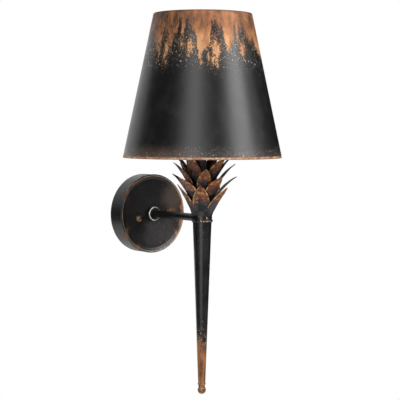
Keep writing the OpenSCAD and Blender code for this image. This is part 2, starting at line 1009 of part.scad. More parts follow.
module holder_cap() {
  chamfer = 3;
  color("dimgray")
    at_torch()
      translate([0, 0, holder_z])
        rotate_extrude()
          polygon([
            [thread_r + fit, 0],
            [holder_neck_r, 0],
            [holder_neck_r, holder_neck_h],
            [holder_r - chamfer, holder_neck_h],
            [holder_r, holder_neck_h + chamfer],
            [holder_r, holder_neck_h + holder_cap_h],
            [holder_r - holder_wall, holder_neck_h + holder_cap_h],
            [holder_r - holder_wall, holder_neck_h + holder_wall],
            [thread_r + fit, holder_neck_h + holder_wall]
          ]);
}

module earth_lug() {
  wall_in = holder_r - holder_wall - fit;
  color("gold")
    at_torch()
      difference() {
        intersection() {
          translate([0, 0, earth_lug_z - lug_w / 2])
            cylinder(r = wall_in, h = lug_w);
          translate([-lug_w / 2, -holder_r, earth_lug_z - lug_w / 2])
            cube([lug_w, holder_r - wall_in + lug_d, lug_w]);
        }
        translate([0, lug_d - wall_in + cut, earth_lug_z])
          rotate([90, 0, 0])
            cylinder(r = wire_r + wire_gap, h = bare_len / 2 + end_gap + cut);
      }
}

module holder_sleeve() {
  color("dimgray")
    at_torch()
      translate([0, 0, sleeve_z])
        rotate_extrude()
          polygon([
            [sleeve_bore_r, 0],
            [holder_r, 0],
            [holder_r, seat_h],
            [seat_r, seat_h],
            [seat_r, seat_h + seat_t],
            [holder_r, seat_h + seat_t],
            [holder_r, sleeve_h],
            [sleeve_bore_r, sleeve_h]
          ]);
}

module holder_core() {
  hole_r = 3;
  skin = 2;
  color("white")
    at_torch()
      difference() {
        translate([0, 0, sleeve_z])
          cylinder(r = core_r, h = core_h);
        translate([0, 0, sleeve_z - cut])
          cylinder(r = hole_r, h = core_h - skin + cut);
      }
}

module holder_terminals() {
  color("gold")
    at_torch()
      for (side = [-1, 1])
        translate([side * terminal_x, 0, terminal_z])
          difference() {
            translate([-terminal_w / 2, -terminal_w / 2, 0])
              cube([terminal_w, terminal_w, terminal_h]);
            translate([0, 0, -cut])
              cylinder(r = wire_r + wire_gap, h = bare_len + cut);
            translate([0, -terminal_w, terminal_screw_z])
              rotate([-90, 0, 0])
                cylinder(r = terminal_screw_r, h = terminal_w);
          }
}

module screw_shell() {
  color("gold")
    at_torch()
      tube(shell_r + shell_t, shell_r, core_top, sleeve_top - shell_drop);
}

module centre_contact() {
  color("gold")
    at_torch()
      translate([0, 0, core_top])
        cylinder(r = contact_r, h = contact_h);
}

module ring_nut() {
  grips = 24;
  grip_r = 1;
  grip_out = 0.4;
  grip_start = 1.2;
  color("dimgray")
    at_torch()
      difference() {
        tube(ring_nut_r, holder_r + fit, ring_nut_z, ring_nut_z + ring_nut_h);
        for (i = [0:grips - 1])
          rotate([0, 0, i * 360 / grips])
            translate([ring_nut_r + grip_out, 0, ring_nut_z + grip_start])
              cylinder(r = grip_r, h = ring_nut_h, $fn = 24);
      }
}

// ---- Bulb ----

module bulb_cap() {
  button_r = 4;
  color("silver")
    at_torch() {
      translate([0, 0, bulb_z + bulb_button_h])
        cylinder(r = bulb_cap_r, h = bulb_cap_h);
      translate([0, 0, bulb_z])
        cylinder(r = button_r, h = bulb_button_h);
    }
}

// Half section of the bulb's glass, drawn in by inset
module bulb_outline(inset) {
  neck_h = 6;
  join_z = bulb_centre - 0.42 * bulb_r;
  join_r = 0.885 * bulb_r;
  intersection() {
    union() {
      translate([0, bulb_centre])
        circle(r = bulb_r - inset, $fn = 128);
      polygon([
        [0, glass_z],
        [bulb_neck_r - inset, glass_z],
        [bulb_neck_r - inset, glass_z + neck_h],
        [join_r - inset, join_z],
        [0, join_z]
      ]);
    }
    translate([0, glass_z])
      square([2 * bulb_r, bulb_len]);
  }
}

module bulb_glass() {
  color([0.95, 0.93, 0.88, 0.5])
    at_torch()
      rotate_extrude()
        difference() {
          bulb_outline(0);
          difference() {
            bulb_outline(glass_t);
            translate([0, glass_z - cut])
              square([bulb_neck_r, glass_t + cut]);
          }
        }
}

module bulb_filaments() {
  foot_r = 6;
  head_r = 2.5;
  head_h = 2;
  filament_r = 0.9;
  filament_len = 30;
  filament_lean = 14;
  filament_out = 2;
  head_z = bulb_centre - 14;
  color("gold")
    at_torch() {
      translate([0, 0, glass_z + glass_t])
        cylinder(r1 = foot_r, r2 = head_r, h = head_z - glass_z - glass_t);
      translate([0, 0, head_z - cut])
        cylinder(r = head_r, h = head_h + cut);
      for (i = [0:3])
        rotate([0, 0, 45 + 90 * i])
          translate([filament_out, 0, head_z])
            rotate([0, filament_lean, 0])
              cylinder(r = filament_r, h = filament_len);
    }
}

// ---- Shade ----

// Half section of a ring of the shade's sheet between two heights, set in by inset
module shade_band(low, high, inset, thickness) {
  polygon([
    [shade_r(low) - inset, low],
    [shade_r(high) - inset, high],
    [shade_r(high) - inset - thickness, high],
    [shade_r(low) - inset - thickness, low]
  ]);
}

module shade_carrier() {
  foot_in = shade_t + foot_gap;
  foot_half_h = 6;
  spoke_start = ring_nut_r + 1;
  spoke_end = shade_r(spoke_z) - foot_in - foot_t / 2;
  color("dimgray")
    at_torch() {
      difference() {
        union() {
          translate([0, 0, carrier_z])
            cylinder(r = carrier_r, h = carrier_t);
          for (i = [0:spokes - 1])
            rotate([0, 0, 90 + i * 360 / spokes])
              translate([spoke_start, 0, spoke_z])
                rotate([0, 90, 0])
                  cylinder(r = spoke_r, h = spoke_end - spoke_start);
        }
        translate([0, 0, carrier_z - cut])
          cylinder(r = carrier_hole_r, h = 4 * spoke_r + 2 * cut);
      }
      for (i = [0:spokes - 1])
        rotate([0, 0, 90 + i * 360 / spokes])
          intersection() {
            rotate_extrude($fn = 192)
              shade_band(spoke_z - foot_half_h, spoke_z + foot_half_h, foot_in, foot_t);
            translate([0, -foot_half_w, spoke_z - 2 * foot_half_h])
              cube([2 * shade_low_r, 2 * foot_half_w, 4 * foot_half_h]);
          }
    }
}

module shade_shell() {
  shade_top = shade_z + shade_h;
  color(black_paint)
    at_torch()
      rotate_extrude($fn = 192) {
        shade_band(shade_z + shade_bead_r, shade_top - shade_top_bead_r, 0, shade_t);
        translate([shade_r(shade_z + shade_bead_r) - shade_bead_r, shade_z + shade_bead_r])
          circle(r = shade_bead_r, $fn = 32);
        translate([shade_r(shade_top) - shade_top_bead_r, shade_top - shade_top_bead_r])
          circle(r = shade_top_bead_r, $fn = 32);
      }
}

// ---- Wires ----

wire_sides = 10;
// Largest angle between two rings of a bend
wire_bend_step = 16;

// Directions at a place on a wire: two across it and one along it
function turned(dirs, roll, angle) =
  let (
    aim = cos(roll) * dirs[0] + sin(roll) * dirs[1],
    side = cos(roll) * dirs[1] - sin(roll) * dirs[0],
    new_aim = cos(angle) * aim - sin(angle) * dirs[2]
  )
    [
      cos(roll) * new_aim - sin(roll) * side,
      sin(roll) * new_aim + cos(roll) * side,
      cos(angle) * dirs[2] + sin(angle) * aim
    ];

// Place on a bend of the given radius and angle that starts at pos
function bent(pos, dirs, roll, radius, angle) =
  let (aim = cos(roll) * dirs[0] + sin(roll) * dirs[1])
    pos + radius * ((1 - cos(angle)) * aim + sin(angle) * dirs[2]);

// Ring of points around a wire
function wire_ring(pos, dirs) = [
  for (k = [0:wire_sides - 1])
    let (turn = 360 * k / wire_sides)
      pos + wire_r * (cos(turn) * dirs[0] + sin(turn) * dirs[1])
];

// Rings of a wire: each step is a straight length, a bend radius, a bend angle
// and the roll that aims the bend
function wire_rings(steps, pos, dirs, i = 0) =
  let (
    end = pos + steps[i][0] * dirs[2],
    radius = steps[i][1],
    angle = steps[i][2],
    roll = steps[i][3]
  )
    i == len(steps) - 1
    ? [wire_ring(end, dirs)]
    : let (parts = ceil(angle / wire_bend_step))
        concat(
          [wire_ring(end, dirs)],
          [
            for (k = [1:parts])
              let (part = angle * k / parts)
                wire_ring(bent(end, dirs, roll, radius, part), turned(dirs, roll, part))
          ],
          wire_rings(steps, bent(end, dirs, roll, radius, angle), turned(dirs, roll, angle), i + 1)
        );

// A wire that starts at pos with the given directions
module wire_run(pos, dirs, steps) {
  rings = concat([wire_ring(pos, dirs)], wire_rings(steps, pos, dirs));
  last = (len(rings) - 1) * wire_sides;
  walls = [
    for (i = [0:len(rings) - 2], k = [0:wire_sides - 1])
      let (a = i * wire_sides + k, b = i * wire_sides + (k + 1) % wire_sides)
        each [[a, b + wire_sides, b], [a, a + wire_sides, b + wire_sides]]
  ];
  start_face = [for (k = [0:wire_sides - 1]) k];
  end_face = [for (k = [wire_sides - 1:-1:0]) last + k];
  polyhedron(points = [for (ring = rings) each ring], faces = concat(walls, [start_face, end_face]));
}

// Straight length and rise of a step aside made of two equal bends
function step_straight(shift, radius, angle) = (shift - 2 * radius * (1 - cos(angle))) / sin(angle);
function step_rise(shift, radius, angle) =
  2 * radius * sin(angle) + step_straight(shift, radius, angle) * cos(angle);

// A wire from the terminal block through the arm and the lamp tube to the lampholder
module lamp_wire(side) {
  inward = side > 0 ? 180 : 0;
  outward = 180 - inward;
  block_fall = block_z + bare_len - wire_bend - step_rise(way_step, step_bend, way_angle);
  room_run = reach - 2 * wire_bend - way_out;
  cap_rise = step_rise(end_step, step_bend, step_angle);
  tube_run = terminal_z - terminal_lead - cap_rise - wire_bend;
  wire_run(
    [side * way_x, -way_out, block_z + bare_len],
    [[1, 0, 0], [0, -1, 0], [0, 0, -1]],
    [
      [block_fall - neck_len, step_bend, way_angle, inward],
      [step_straight(way_step, step_bend, way_angle), step_bend, way_angle, outward],
      [neck_len, wire_bend, 90, 90],
      [room_run, wire_bend, 90, 90],
      [tube_run, step_bend, step_angle, outward],
      [step_straight(end_step, step_bend, step_angle), step_bend, step_angle, inward],
      [terminal_lead + bare_len]
    ]
  );
}

module live_wire() {
  color("saddlebrown")
    lamp_wire(-1);
}

module neutral_wire() {
  color("steelblue")
    lamp_wire(1);
}

module earth_wire() {
  tail_z = tag_ring_r + earth_tail_gap - earth_z;
  color("yellowgreen")
    wire_run(
      [0, -earth_out, tail_z],
      [[1, 0, 0], [0, 1, 0], [0, 0, 1]],
      [
        [-wire_bend - tail_z, wire_bend, 90, -90],
        [reach - 2 * wire_bend - earth_out, wire_bend, 90, 90],
        [earth_lug_z - step_bend - wire_bend, step_bend, 90, -90],
        [holder_r - holder_wall - fit - lug_d - step_bend + bare_len / 2]
      ]
    );
}

wall_bracket();
bracket_studs();
stud_nuts();
left_knob();
right_knob();
wall_plate();
terminal_block();
terminal_barrels();
terminal_screws();
block_screw();
earth_screw();
earth_tag();
arm_tube();
root_ring();
arm_washer();
arm_nut();
leaf_cup();
stem();
tie_rod();
tip_ring();
finial();
leaf_tier_1();
leaf_tier_2();
leaf_tier_3();
leaf_tier_4();
leaf_tier_5();
leaf_spacers();
stack_nut();
lamp_tube();
holder_nut();
holder_cap();
earth_lug();
holder_sleeve();
holder_core();
holder_terminals();
screw_shell();
centre_contact();
ring_nut();
bulb_cap();
bulb_glass();
bulb_filaments();
shade_carrier();
shade_shell();
live_wire();
neutral_wire();
earth_wire();
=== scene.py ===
# %% [markdown]
# # A torch sconce in aged paint
# This lesson dresses the packed model of a wall light: a round wall plate, a straight
# arm, a tapered torch stem with a crown of metal leaves, and a tapered metal shade.
# The solids already have the right sizes, so most of the work is finish: black satin
# paint that has worn through to copper. Only the leaves are modelled again, because a
# real leaf is bent from thin sheet and no two of them are alike.

import math
import random

import bpy
from mathutils import Euler, Matrix, Vector


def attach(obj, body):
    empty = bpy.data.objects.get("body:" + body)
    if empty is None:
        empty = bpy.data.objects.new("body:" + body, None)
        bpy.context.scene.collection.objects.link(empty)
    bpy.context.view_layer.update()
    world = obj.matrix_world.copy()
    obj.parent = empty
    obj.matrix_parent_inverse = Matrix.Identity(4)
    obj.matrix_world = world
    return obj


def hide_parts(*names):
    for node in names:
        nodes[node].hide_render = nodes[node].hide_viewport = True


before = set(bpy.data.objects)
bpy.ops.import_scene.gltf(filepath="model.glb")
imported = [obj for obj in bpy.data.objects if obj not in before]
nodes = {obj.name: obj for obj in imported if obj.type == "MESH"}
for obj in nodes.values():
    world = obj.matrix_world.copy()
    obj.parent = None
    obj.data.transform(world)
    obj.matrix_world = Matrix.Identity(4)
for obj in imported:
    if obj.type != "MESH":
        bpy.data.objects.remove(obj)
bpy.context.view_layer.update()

# %% [markdown]
# ## The camera
# A photograph fixes three things: where the camera stands, where it looks and how long
# its lens is. It could be moved by eye until the picture fits, but that is slow, so its
# place and turn were worked out from the outlines of the shade, the plate and the stem.
# It stands about two metres away, a little left of the torch, with a long lens, so that
# the upright lines stay almost parallel.

# %% Place the camera
# Metres and degrees, from the middle of the wall plate's back; the lens is in millimetres
REACH = 0.158
CAMERA_PLACE = (-1.26891, -1.70483, 0.14973)
CAMERA_TILT, CAMERA_TURN, CAMERA_ROLL = 86.534, -39.262, 0.16
LENS, SENSOR = 114.57, 36

torch_axis = Vector((0, -REACH, 0))
camera_data = bpy.data.cameras.new("camera")
camera_data.lens = LENS
camera_data.sensor_width = SENSOR
camera = bpy.data.objects.new("camera", camera_data)
bpy.context.scene.collection.objects.link(camera)
camera_turn = Euler((math.radians(CAMERA_TILT), 0, math.radians(CAMERA_TURN))).to_matrix()
camera_roll = Matrix.Rotation(math.radians(CAMERA_ROLL), 4, "Z")
camera.matrix_world = Matrix.Translation(CAMERA_PLACE) @ camera_turn.to_4x4() @ camera_roll
bpy.context.scene.camera = camera
bpy.context.scene.view_settings.view_transform = "Standard"
print("camera at", camera.location)

# %% [markdown]
# ## Maths on sockets
# A finish is mostly arithmetic: how high, how far round, how rough. Written as node
# after node it is hard to read, so this small class wraps a socket and lets Python's
# own operators add the Math nodes. Every other node comes from its method `node`.

# %% A socket that can be calculated with
class Field:
    """A socket of a material. Arithmetic on it adds Math nodes."""

    def __init__(self, tree, socket=None):
        self.tree = tree
        self.socket = socket

    def node(self, kind, inputs=None, out=0, stops=None, **settings):
        """Adds a node: its settings first, then the values or links of its sockets."""
        made = self.tree.nodes.new("ShaderNode" + kind)
        for name, value in settings.items():
            setattr(made, name, value)
        if stops:
            ramp = made.color_ramp.elements
            while len(ramp) < len(stops):
                ramp.new(0.5)
            for element, (place, colour) in zip(ramp, stops):
                element.position = place
                element.color = (*colour, 1)
        for key, value in (inputs or {}).items():
            if isinstance(value, Field):
                self.tree.links.new(value.socket, made.inputs[key])
            else:
                made.inputs[key].default_value = value
        return Field(self.tree, made.outputs[out])

    def math(self, operation, *values):
        return self.node("Math", dict(enumerate(values)), operation=operation)

    def __add__(self, other):
        return self.math("ADD", self, other)

    def __sub__(self, other):
        return self.math("SUBTRACT", self, other)

    def __rsub__(self, other):
        return self.math("SUBTRACT", other, self)

    def __neg__(self):
        return self * -1

    def __abs__(self):
        return self.math("ABSOLUTE", self)

    def __mul__(self, other):
        return self.math("MULTIPLY", self, other)

    def __truediv__(self, other):
        return self.math("DIVIDE", self, other)

    def __pow__(self, other):
        return self.math("POWER", self, other)

    __radd__ = __add__
    __rmul__ = __mul__

    def top(self, other):
        """The larger of the two, at each point."""
        return self.math("MAXIMUM", self, other)

    def ramp(self, start, end):
        """0 before start, 1 after end, smooth between them."""
        return self.node(
            "MapRange",
            {"Value": self, "From Min": start, "From Max": end},
            interpolation_type="SMOOTHSTEP",
        )

    def swing(self, size):
        """A noise's values centred on 0 instead of 0.5, and spread by a size."""
        return (self - 0.5) * size

    def between(self, below, above):
        """Number below where this is 0 and above where it is 1."""
        return self * (above - below) + below

    def mix(self, below, above):
        """Colour below where this is 0 and colour above where it is 1."""
        ends = [c if isinstance(c, Field) else (*c, 1) for c in (below, above)]
        return self.node("Mix", {0: self, 6: ends[0], 7: ends[1]}, out=2, data_type="RGBA")


print("a Field can also:", [name for name in vars(Field) if not name.startswith("__")])

# %% Noise, places and distances
def noise(place, scale, detail, upright=1.0, shift=0.0, roughness=0.55):
    """Cloudy values around 0.5; an upright below 1 draws the clouds out into streaks."""
    moved = place.node("Mapping", {
        "Vector": place,
        "Location": (shift, shift * 0.7, -shift),
        "Scale": (1, 1, upright),
    })
    return place.node("TexNoise", {
        "Vector": moved,
        "Scale": scale,
        "Detail": detail,
        "Roughness": roughness,
    })


def in_mm(place):
    """X, Y and Z of a place, in millimetres."""
    return [place.node("SeparateXYZ", {0: place}, out=i) * 1000 for i in range(3)]


def distance(across, along):
    """Length of the line over two sides that meet at a right angle."""
    return (across * across + along * along) ** 0.5


print("a distance of 3 across and 4 along:", distance(3, 4))

# %% A new material and its sockets
def new_material(name):
    """A Principled material: the material, its Object coordinates and its shader."""
    material = bpy.data.materials.new(name)
    material.use_nodes = True
    shader = material.node_tree.nodes["Principled BSDF"]
    place = Field(material.node_tree).node("TexCoord", out=3)
    return material, place, shader


def plug(shader, **inputs):
    """Sets or links the shader's sockets, named with underscores for blanks."""
    for name, value in inputs.items():
        socket = shader.inputs[name.replace("_", " ")]
        if isinstance(value, Field):
            value.tree.links.new(value.socket, socket)
        else:
            socket.default_value = value


def bump(height, depth):
    """Normal from a height field; depth is the real height of 1 in metres."""
    return height.node("Bump", {"Height": height, "Distance": depth, "Strength": 1})


print("helpers ready")

# %% [markdown]
# ## The studio
# Satin black paint shows almost nothing but what it mirrors, so the lamps are large soft
# boxes whose reflections run down the shade as two upright bands. Small lamps would give
# hard spots instead. Six dark cards, seen only in reflections, keep the shade's flanks,
# the arm and the plate black between the bands. White is only what the world and the
# floor show to the camera, to mirrors and to glass. For all other light the world is a
# dim fill and the floor is matt, so that the white doesn't wash out the object.

# %% White background, pale floor
FILL = 0.32
FLOOR_SIZE, FLOOR_LEVEL = 24, -1.0
WHITE, FLOOR_GREY = (1, 1, 1, 1), (0.8, 0.8, 0.8, 1)


def seen_directly(tree):
    """1 for camera, glossy and transmission rays, 0 for the light that falls on things."""
    start = Field(tree)
    seen = start.node("LightPath", out="Is Camera Ray")
    for kind in ("Is Glossy Ray", "Is Transmission Ray"):
        seen = seen.top(start.node("LightPath", out=kind))
    return seen


world = bpy.data.worlds.new("studio")
world.use_nodes = True
bpy.context.scene.world = world
backdrop = world.node_tree.nodes["Background"]
backdrop.inputs["Color"].default_value = WHITE
strength = seen_directly(world.node_tree).between(FILL, 1)
world.node_tree.links.new(strength.socket, backdrop.inputs["Strength"])

bpy.ops.mesh.primitive_plane_add(size=FLOOR_SIZE, location=(0, 0, FLOOR_LEVEL))
floor = bpy.context.object
floor.name = "floor"
floor_paint = bpy.data.materials.new("pale_floor")
floor_paint.use_nodes = True
tree = floor_paint.node_tree
seen = seen_directly(tree)
matt = seen.node("BsdfDiffuse", {"Color": FLOOR_GREY})
glow = seen.node("Emission", {"Color": WHITE, "Strength": 1.0})
surface = seen.node("MixShader", {0: seen, 1: matt, 2: glow})
tree.links.new(surface.socket, tree.nodes["Material Output"].inputs["Surface"])
floor.data.materials.append(floor_paint)
print("floor at", floor.location.z)

# %% Soft boxes
STUDIO_RADIUS = 1.7
lit_middle = torch_axis + Vector((0, 0, 0.15))


def around_torch(turn, rise):
    """A place in the studio, seen from the shade: degrees from +X and above the level."""
    turn, rise = math.radians(turn), math.radians(rise)
    flat, up = math.cos(rise) * STUDIO_RADIUS, math.sin(rise) * STUDIO_RADIUS
    return lit_middle + Vector((math.cos(turn) * flat, math.sin(turn) * flat, up))


def facing(place):
    """Rotation that turns a lamp or card at that place towards the shade."""
    return (lit_middle - place).to_track_quat("-Z", "Y").to_euler()


def soft_box(name, turn, rise, width, height, brightness):
    """A rectangular lamp that would itself show as plain white at a brightness of 1."""
    data = bpy.data.lights.new(name, "AREA")
    data.shape = "RECTANGLE"
    data.size = width
    data.size_y = height
    data.energy = brightness * math.pi * width * height
    lamp = bpy.data.objects.new(name, data)
    bpy.context.scene.collection.objects.link(lamp)
    lamp.location = around_torch(turn, rise)
    lamp.rotation_euler = facing(lamp.location)
    lamp.visible_camera = False
    print(name, "at", [round(v, 2) for v in lamp.location])


soft_box("right_box", turn=-67, rise=24, width=0.86, height=1.0, brightness=7.2)
soft_box("left_box", turn=-143, rise=12, width=0.66, height=1.9, brightness=2.9)
soft_box("top_box", turn=-100, rise=75, width=1.2, height=1.2, brightness=1.5)

# %% Dark cards
CARD_BLACK = (0.003, 0.003, 0.003, 1)
card_black, _, card_shader = new_material("card_black")
plug(card_shader, Base_Color=CARD_BLACK, Roughness=1)


def dark_card(name, turn, rise, width, height):
    """A black card that only reflections can see."""
    bpy.ops.mesh.primitive_plane_add(size=1, location=around_torch(turn, rise))
    card = bpy.context.object
    card.name = name
    card.scale = (width, height, 1)
    card.rotation_euler = facing(card.location)
    card.data.materials.append(card_black)
    for ray in ("camera", "diffuse", "transmission", "shadow"):
        setattr(card, "visible_" + ray, False)
    print(name, "at", [round(v, 2) for v in card.location])


dark_card("left_card", turn=157, rise=5, width=2.4, height=2.2)
dark_card("right_card", turn=15, rise=5, width=2.9, height=2.2)
dark_card("middle_card", turn=-107, rise=24, width=0.55, height=1.3)
dark_card("low_front_card", turn=-75, rise=-17, width=3.6, height=0.9)
dark_card("low_back_card", turn=125, rise=-8, width=0.8, height=0.7)
dark_card("low_right_card", turn=19, rise=-17, width=3.6, height=0.9)

# %% [markdown]
# ## Aged paint
# The lamp is sprayed satin black over a copper-coloured ground, and then rubbed back.
# One picture wrapped round each piece could show that, but it would blur close up and
# need a seam. One recipe of noises serves every painted piece instead: a mask says where
# the paint is gone, a few noises break up both colours, and the mask's own edge gives
# the paint its thickness.

# %% Colours of the finish
PAINT = (0.0075, 0.0077, 0.0082)
PAINT_DUSTY = (0.019, 0.018, 0.0175)
PAINT_RUBBED = (0.07, 0.062, 0.056)
HAZE_BROWN = (0.105, 0.078, 0.06)
HAZE_GREY = (0.075, 0.068, 0.07)
COPPER_BRIGHT = (0.66, 0.33, 0.14)
COPPER = (0.42, 0.17, 0.065)
COPPER_BROWN = (0.24, 0.095, 0.038)
COPPER_DARK = (0.075, 0.042, 0.028)
PALE = (0.6, 0.52, 0.42)


def copper_colour(place, light, shift):
    """Copper ground: light is 0 where it is dark brown and 1 where it is bright."""
    clouds = noise(place, 55, 4, shift=shift)
    streaks = noise(place, 160, 3, upright=0.25, shift=shift + 2)
    level = light + clouds.swing(0.9) + streaks.swing(0.7)
    low = level.ramp(0.05, 0.45).mix(COPPER_DARK, COPPER_BROWN)
    mid = level.ramp(0.3, 0.65).mix(low, COPPER)
    return level.ramp(0.6, 1.0).mix(mid, COPPER_BRIGHT)


print("copper from", COPPER_DARK, "to", COPPER_BRIGHT)

# %% The paint recipe
def aged_paint(name, wear, light, scuff, shift, haze=None, metal=None, flecks=None):
    """Satin black paint with copper where wear(place) is 1.

    light, the copper's brightness, may be a function of the place too; on the shade and the
    stem it also holds painted light and shade. scuff is the strength of rubbed clouds, haze
    gives two dusts, on the plate partly a painted sheen, metal a colour for bright spots and
    flecks a mask of pale dots.
    """
    material, place, shader = new_material(name)
    worn = wear(place)
    bright = light(place) if callable(light) else worn * 0 + light
    dust = noise(place, 38, 5, shift=shift + 5).ramp(0.42, 0.78)
    grain = noise(place, 1300, 2, shift=shift)
    rub = noise(place, 210, 6, shift=shift + 9, roughness=0.7).ramp(0.62, 0.72) * scuff
    black = (dust * 0.8).mix(PAINT, PAINT_DUSTY)
    black = rub.mix(black, PAINT_RUBBED)
    if haze:
        brown, grey = haze(place)
        black = brown.mix(grey.mix(black, HAZE_GREY), HAZE_BROWN)
    copper = copper_colour(place, bright, shift)
    if metal:
        copper = bright.mix(copper, metal)
    colour = worn.mix(black, copper)
    if flecks:
        colour = flecks(place).mix(colour, PALE)
    relief = worn * -0.6 + grain * 0.35 + noise(place, 420, 2, shift=shift + 3) * 0.5
    plug(
        shader,
        Base_Color=colour,
        Metallic=worn * 0.12,
        Roughness=worn * 0.26 + dust * 0.06 + grain * 0.05 + 0.29,
        Specular_IOR_Level=0.42,
        Normal=bump(relief, 0.00016),
    )
    print(name, "has", len(material.node_tree.nodes), "nodes")
    return material


def dress(finish, *names):
    """Gives CAD nodes a finish in place of the plain one that they came with."""
    for name in names:
        nodes[name].data.materials.clear()
        nodes[name].data.materials.append(finish)


# %% Angles round the torch
# From +X clockwise to the camera's side of the torch
SHOWN_SIDE = math.radians(129.3)


def round_torch(place):
    """Degrees round the torch, 0 on the camera's side, and height in millimetres."""
    x, y, height = in_mm(place)
    y = y + REACH * 1000
    ahead = x * math.cos(SHOWN_SIDE) - y * math.sin(SHOWN_SIDE)
    aside = x * math.sin(SHOWN_SIDE) + y * math.cos(SHOWN_SIDE)
    return aside.math("ARCTAN2", aside, ahead) * (180 / math.pi), height


print("degrees from +X to the camera's side:", round(math.degrees(SHOWN_SIDE), 1))

# %% [markdown]
# ## The shade's gilt band
# The top of the shade is brushed with copper, and the brush ran down in tongues between
# which the black shows. Noise alone gives an even fringe, so the edge is drawn first as
# a height for each angle, in the two ramps below, and noise then frays it. Single flakes
# of copper under the edge are drawn as ellipses.

# %% Edge of the copper
# Degrees from the camera's side and millimetres of height
LEFT_EDGE = [
    (-90, 287), (-72, 291), (-62, 288), (-56, 272), (-51, 260), (-47, 250), (-45.5, 296),
    (-43.5, 300), (-42.5, 285), (-37.5, 284), (-35.5, 267), (-33, 266), (-31, 283),
    (-27.5, 285), (-26, 308), (-24, 308), (-22.5, 284), (-20, 279), (-18.5, 306),
    (-16, 310), (-14, 298), (-9, 289), (-6.5, 284), (-4.5, 258), (-2.5, 238), (-1, 238),
    (0, 256),
]
RIGHT_EDGE = [
    (0, 256), (2, 263), (6.5, 264), (8, 297), (11, 302), (13, 303), (15, 294), (20, 292),
    (22, 276), (24, 256), (27, 260), (29, 270), (32, 270), (33.5, 292), (36, 296),
    (38, 285), (41, 296), (44, 290), (49, 287), (54, 280), (60, 276), (65, 270),
    (70, 258), (80, 255), (90, 262),
]
# Flakes under the edge: angle, height, half width in degrees, half height
FLAKES = [
    (-38.2, 258, 2.3, 15), (-11.8, 264, 2.4, 10), (-20.5, 268, 1.6, 4), (12.2, 256, 3.6, 18),
    (42.3, 260, 2.4, 9), (5.3, 251, 0.8, 8), (38.3, 280, 1.2, 6), (-47.5, 266, 2.2, 16),
]
FLAKE_DEPTH = 8
print("points on the edge:", len(LEFT_EDGE) + len(RIGHT_EDGE), "flakes:", len(FLAKES))

# %% How deep a point lies in the copper
# Mean height and spread of the edge behind the shade, where noise alone draws it
BACK_EDGE, BACK_SPREAD = 272, 150
EDGE_LOW, EDGE_HIGH = 230, 320


def edge_height(angle, points):
    """Height of the edge at an angle, read from a ramp through the points."""
    first, last, span = points[0][0], points[-1][0], EDGE_HIGH - EDGE_LOW
    stops = [((a - first) / (last - first), ((h - EDGE_LOW) / span,) * 3) for a, h in points]
    share = (angle - first) / (last - first)
    return share.node("ValToRGB", {0: share}, stops=stops) * span + EDGE_LOW


def band_depth(place, angle, height):
    """Millimetres by which a point lies inside the copper, below 0 in the black."""
    waver = angle + noise(place, 120, 2, upright=0.6, shift=11).swing(5)
    left, right = edge_height(waver, LEFT_EDGE), edge_height(waver, RIGHT_EDGE)
    drawn = waver.math("LESS_THAN", waver, 0).between(right, left)
    by_chance = noise(place, 60, 3, upright=0.12, shift=21).swing(BACK_SPREAD) + BACK_EDGE
    depth = height - abs(waver).ramp(84, 96).between(drawn, by_chance)
    for turn, level, wide, tall in FLAKES:
        flake = 1 - distance((waver - turn) / wide, (height - level) / tall)
        depth = depth.top(flake * min(tall, FLAKE_DEPTH))
    return depth


print("the ramps hold heights from", EDGE_LOW, "to", EDGE_HIGH, "mm")

# %% Inner side and wear of the shade
# The cone of the shade, in millimetres
SHADE_FOOT, SHADE_HEIGHT, SHADE_LOW_R, SHADE_TOP_R, SHADE_SHEET = 95, 225, 125, 77, 1


def inside_shade(place):
    """1 on the inner side of the shade's sheet, which is gilded all over."""
    x, y, z = in_mm(place)
    from_axis = distance(x, y + REACH * 1000)
    outer = (z - SHADE_FOOT) * ((SHADE_TOP_R - SHADE_LOW_R) / SHADE_HEIGHT) + SHADE_LOW_R
    return (outer - from_axis - SHADE_SHEET / 2).ramp(-0.1, 0.1)


def shade_wear(place):
    """1 on the copper band, its flakes and specks, the lower rim and the inner side."""
    angle, height = round_torch(place)
    streak = noise(place, 190, 3, upright=0.16, shift=1)
    hairs = noise(place, 520, 3, upright=0.14, shift=14)
    ragged = noise(place, 420, 4, upright=0.5, shift=4)
    crumbs = noise(place, 900, 3, upright=0.6, shift=7)
    depth = band_depth(place, angle, height)

    # The band, more frayed on the left, less its chips, its cracks and a dark top line
    left_side = 1 - angle.ramp(-48, -22)
    frayed = depth + streak.swing(26) + ragged.swing(26) + crumbs.swing(24)
    frayed = frayed + hairs.swing(left_side * 46 + 16)
    chips = (crumbs + depth.ramp(-5, 40) * -0.07).ramp(0.59, 0.62)
    cracks = (hairs + left_side * 0.09 + depth.ramp(0, 45) * -0.05).ramp(0.6, 0.63)
    top_line = height.ramp(317.6, 318.6) * 0.55
    band = frayed.ramp(-0.4, 0.9) * (1 - chips) * (1 - cracks) * (1 - top_line)

    # Specks under the band and above the foot, and the rolled lower rim
    under_band = depth.ramp(-20, -2) * 0.12 + height.ramp(246, 268) * 0.05
    specks = (crumbs + under_band).ramp(0.72, 0.745) * height.ramp(208, 232)
    near_foot = 1 - height.ramp(96, 124)
    low_specks = (crumbs + near_foot * 0.09).ramp(0.68, 0.72) * near_foot.ramp(0, 0.3)
    low_rim = (ragged.swing(6) + 98.9 - height).ramp(-0.3, 0.6)
    outside = band.top(specks).top(low_specks * 0.6).top(low_rim * 0.9)

    dull = (ragged * 0.6 + streak * 0.5).ramp(0.62, 0.68) * 0.6
    return inside_shade(place).between(outside, 1 - dull)


slope = math.degrees(math.atan2(SHADE_LOW_R - SHADE_TOP_R, SHADE_HEIGHT))
print("the shade's sides lean in by", round(slope, 1), "degrees")

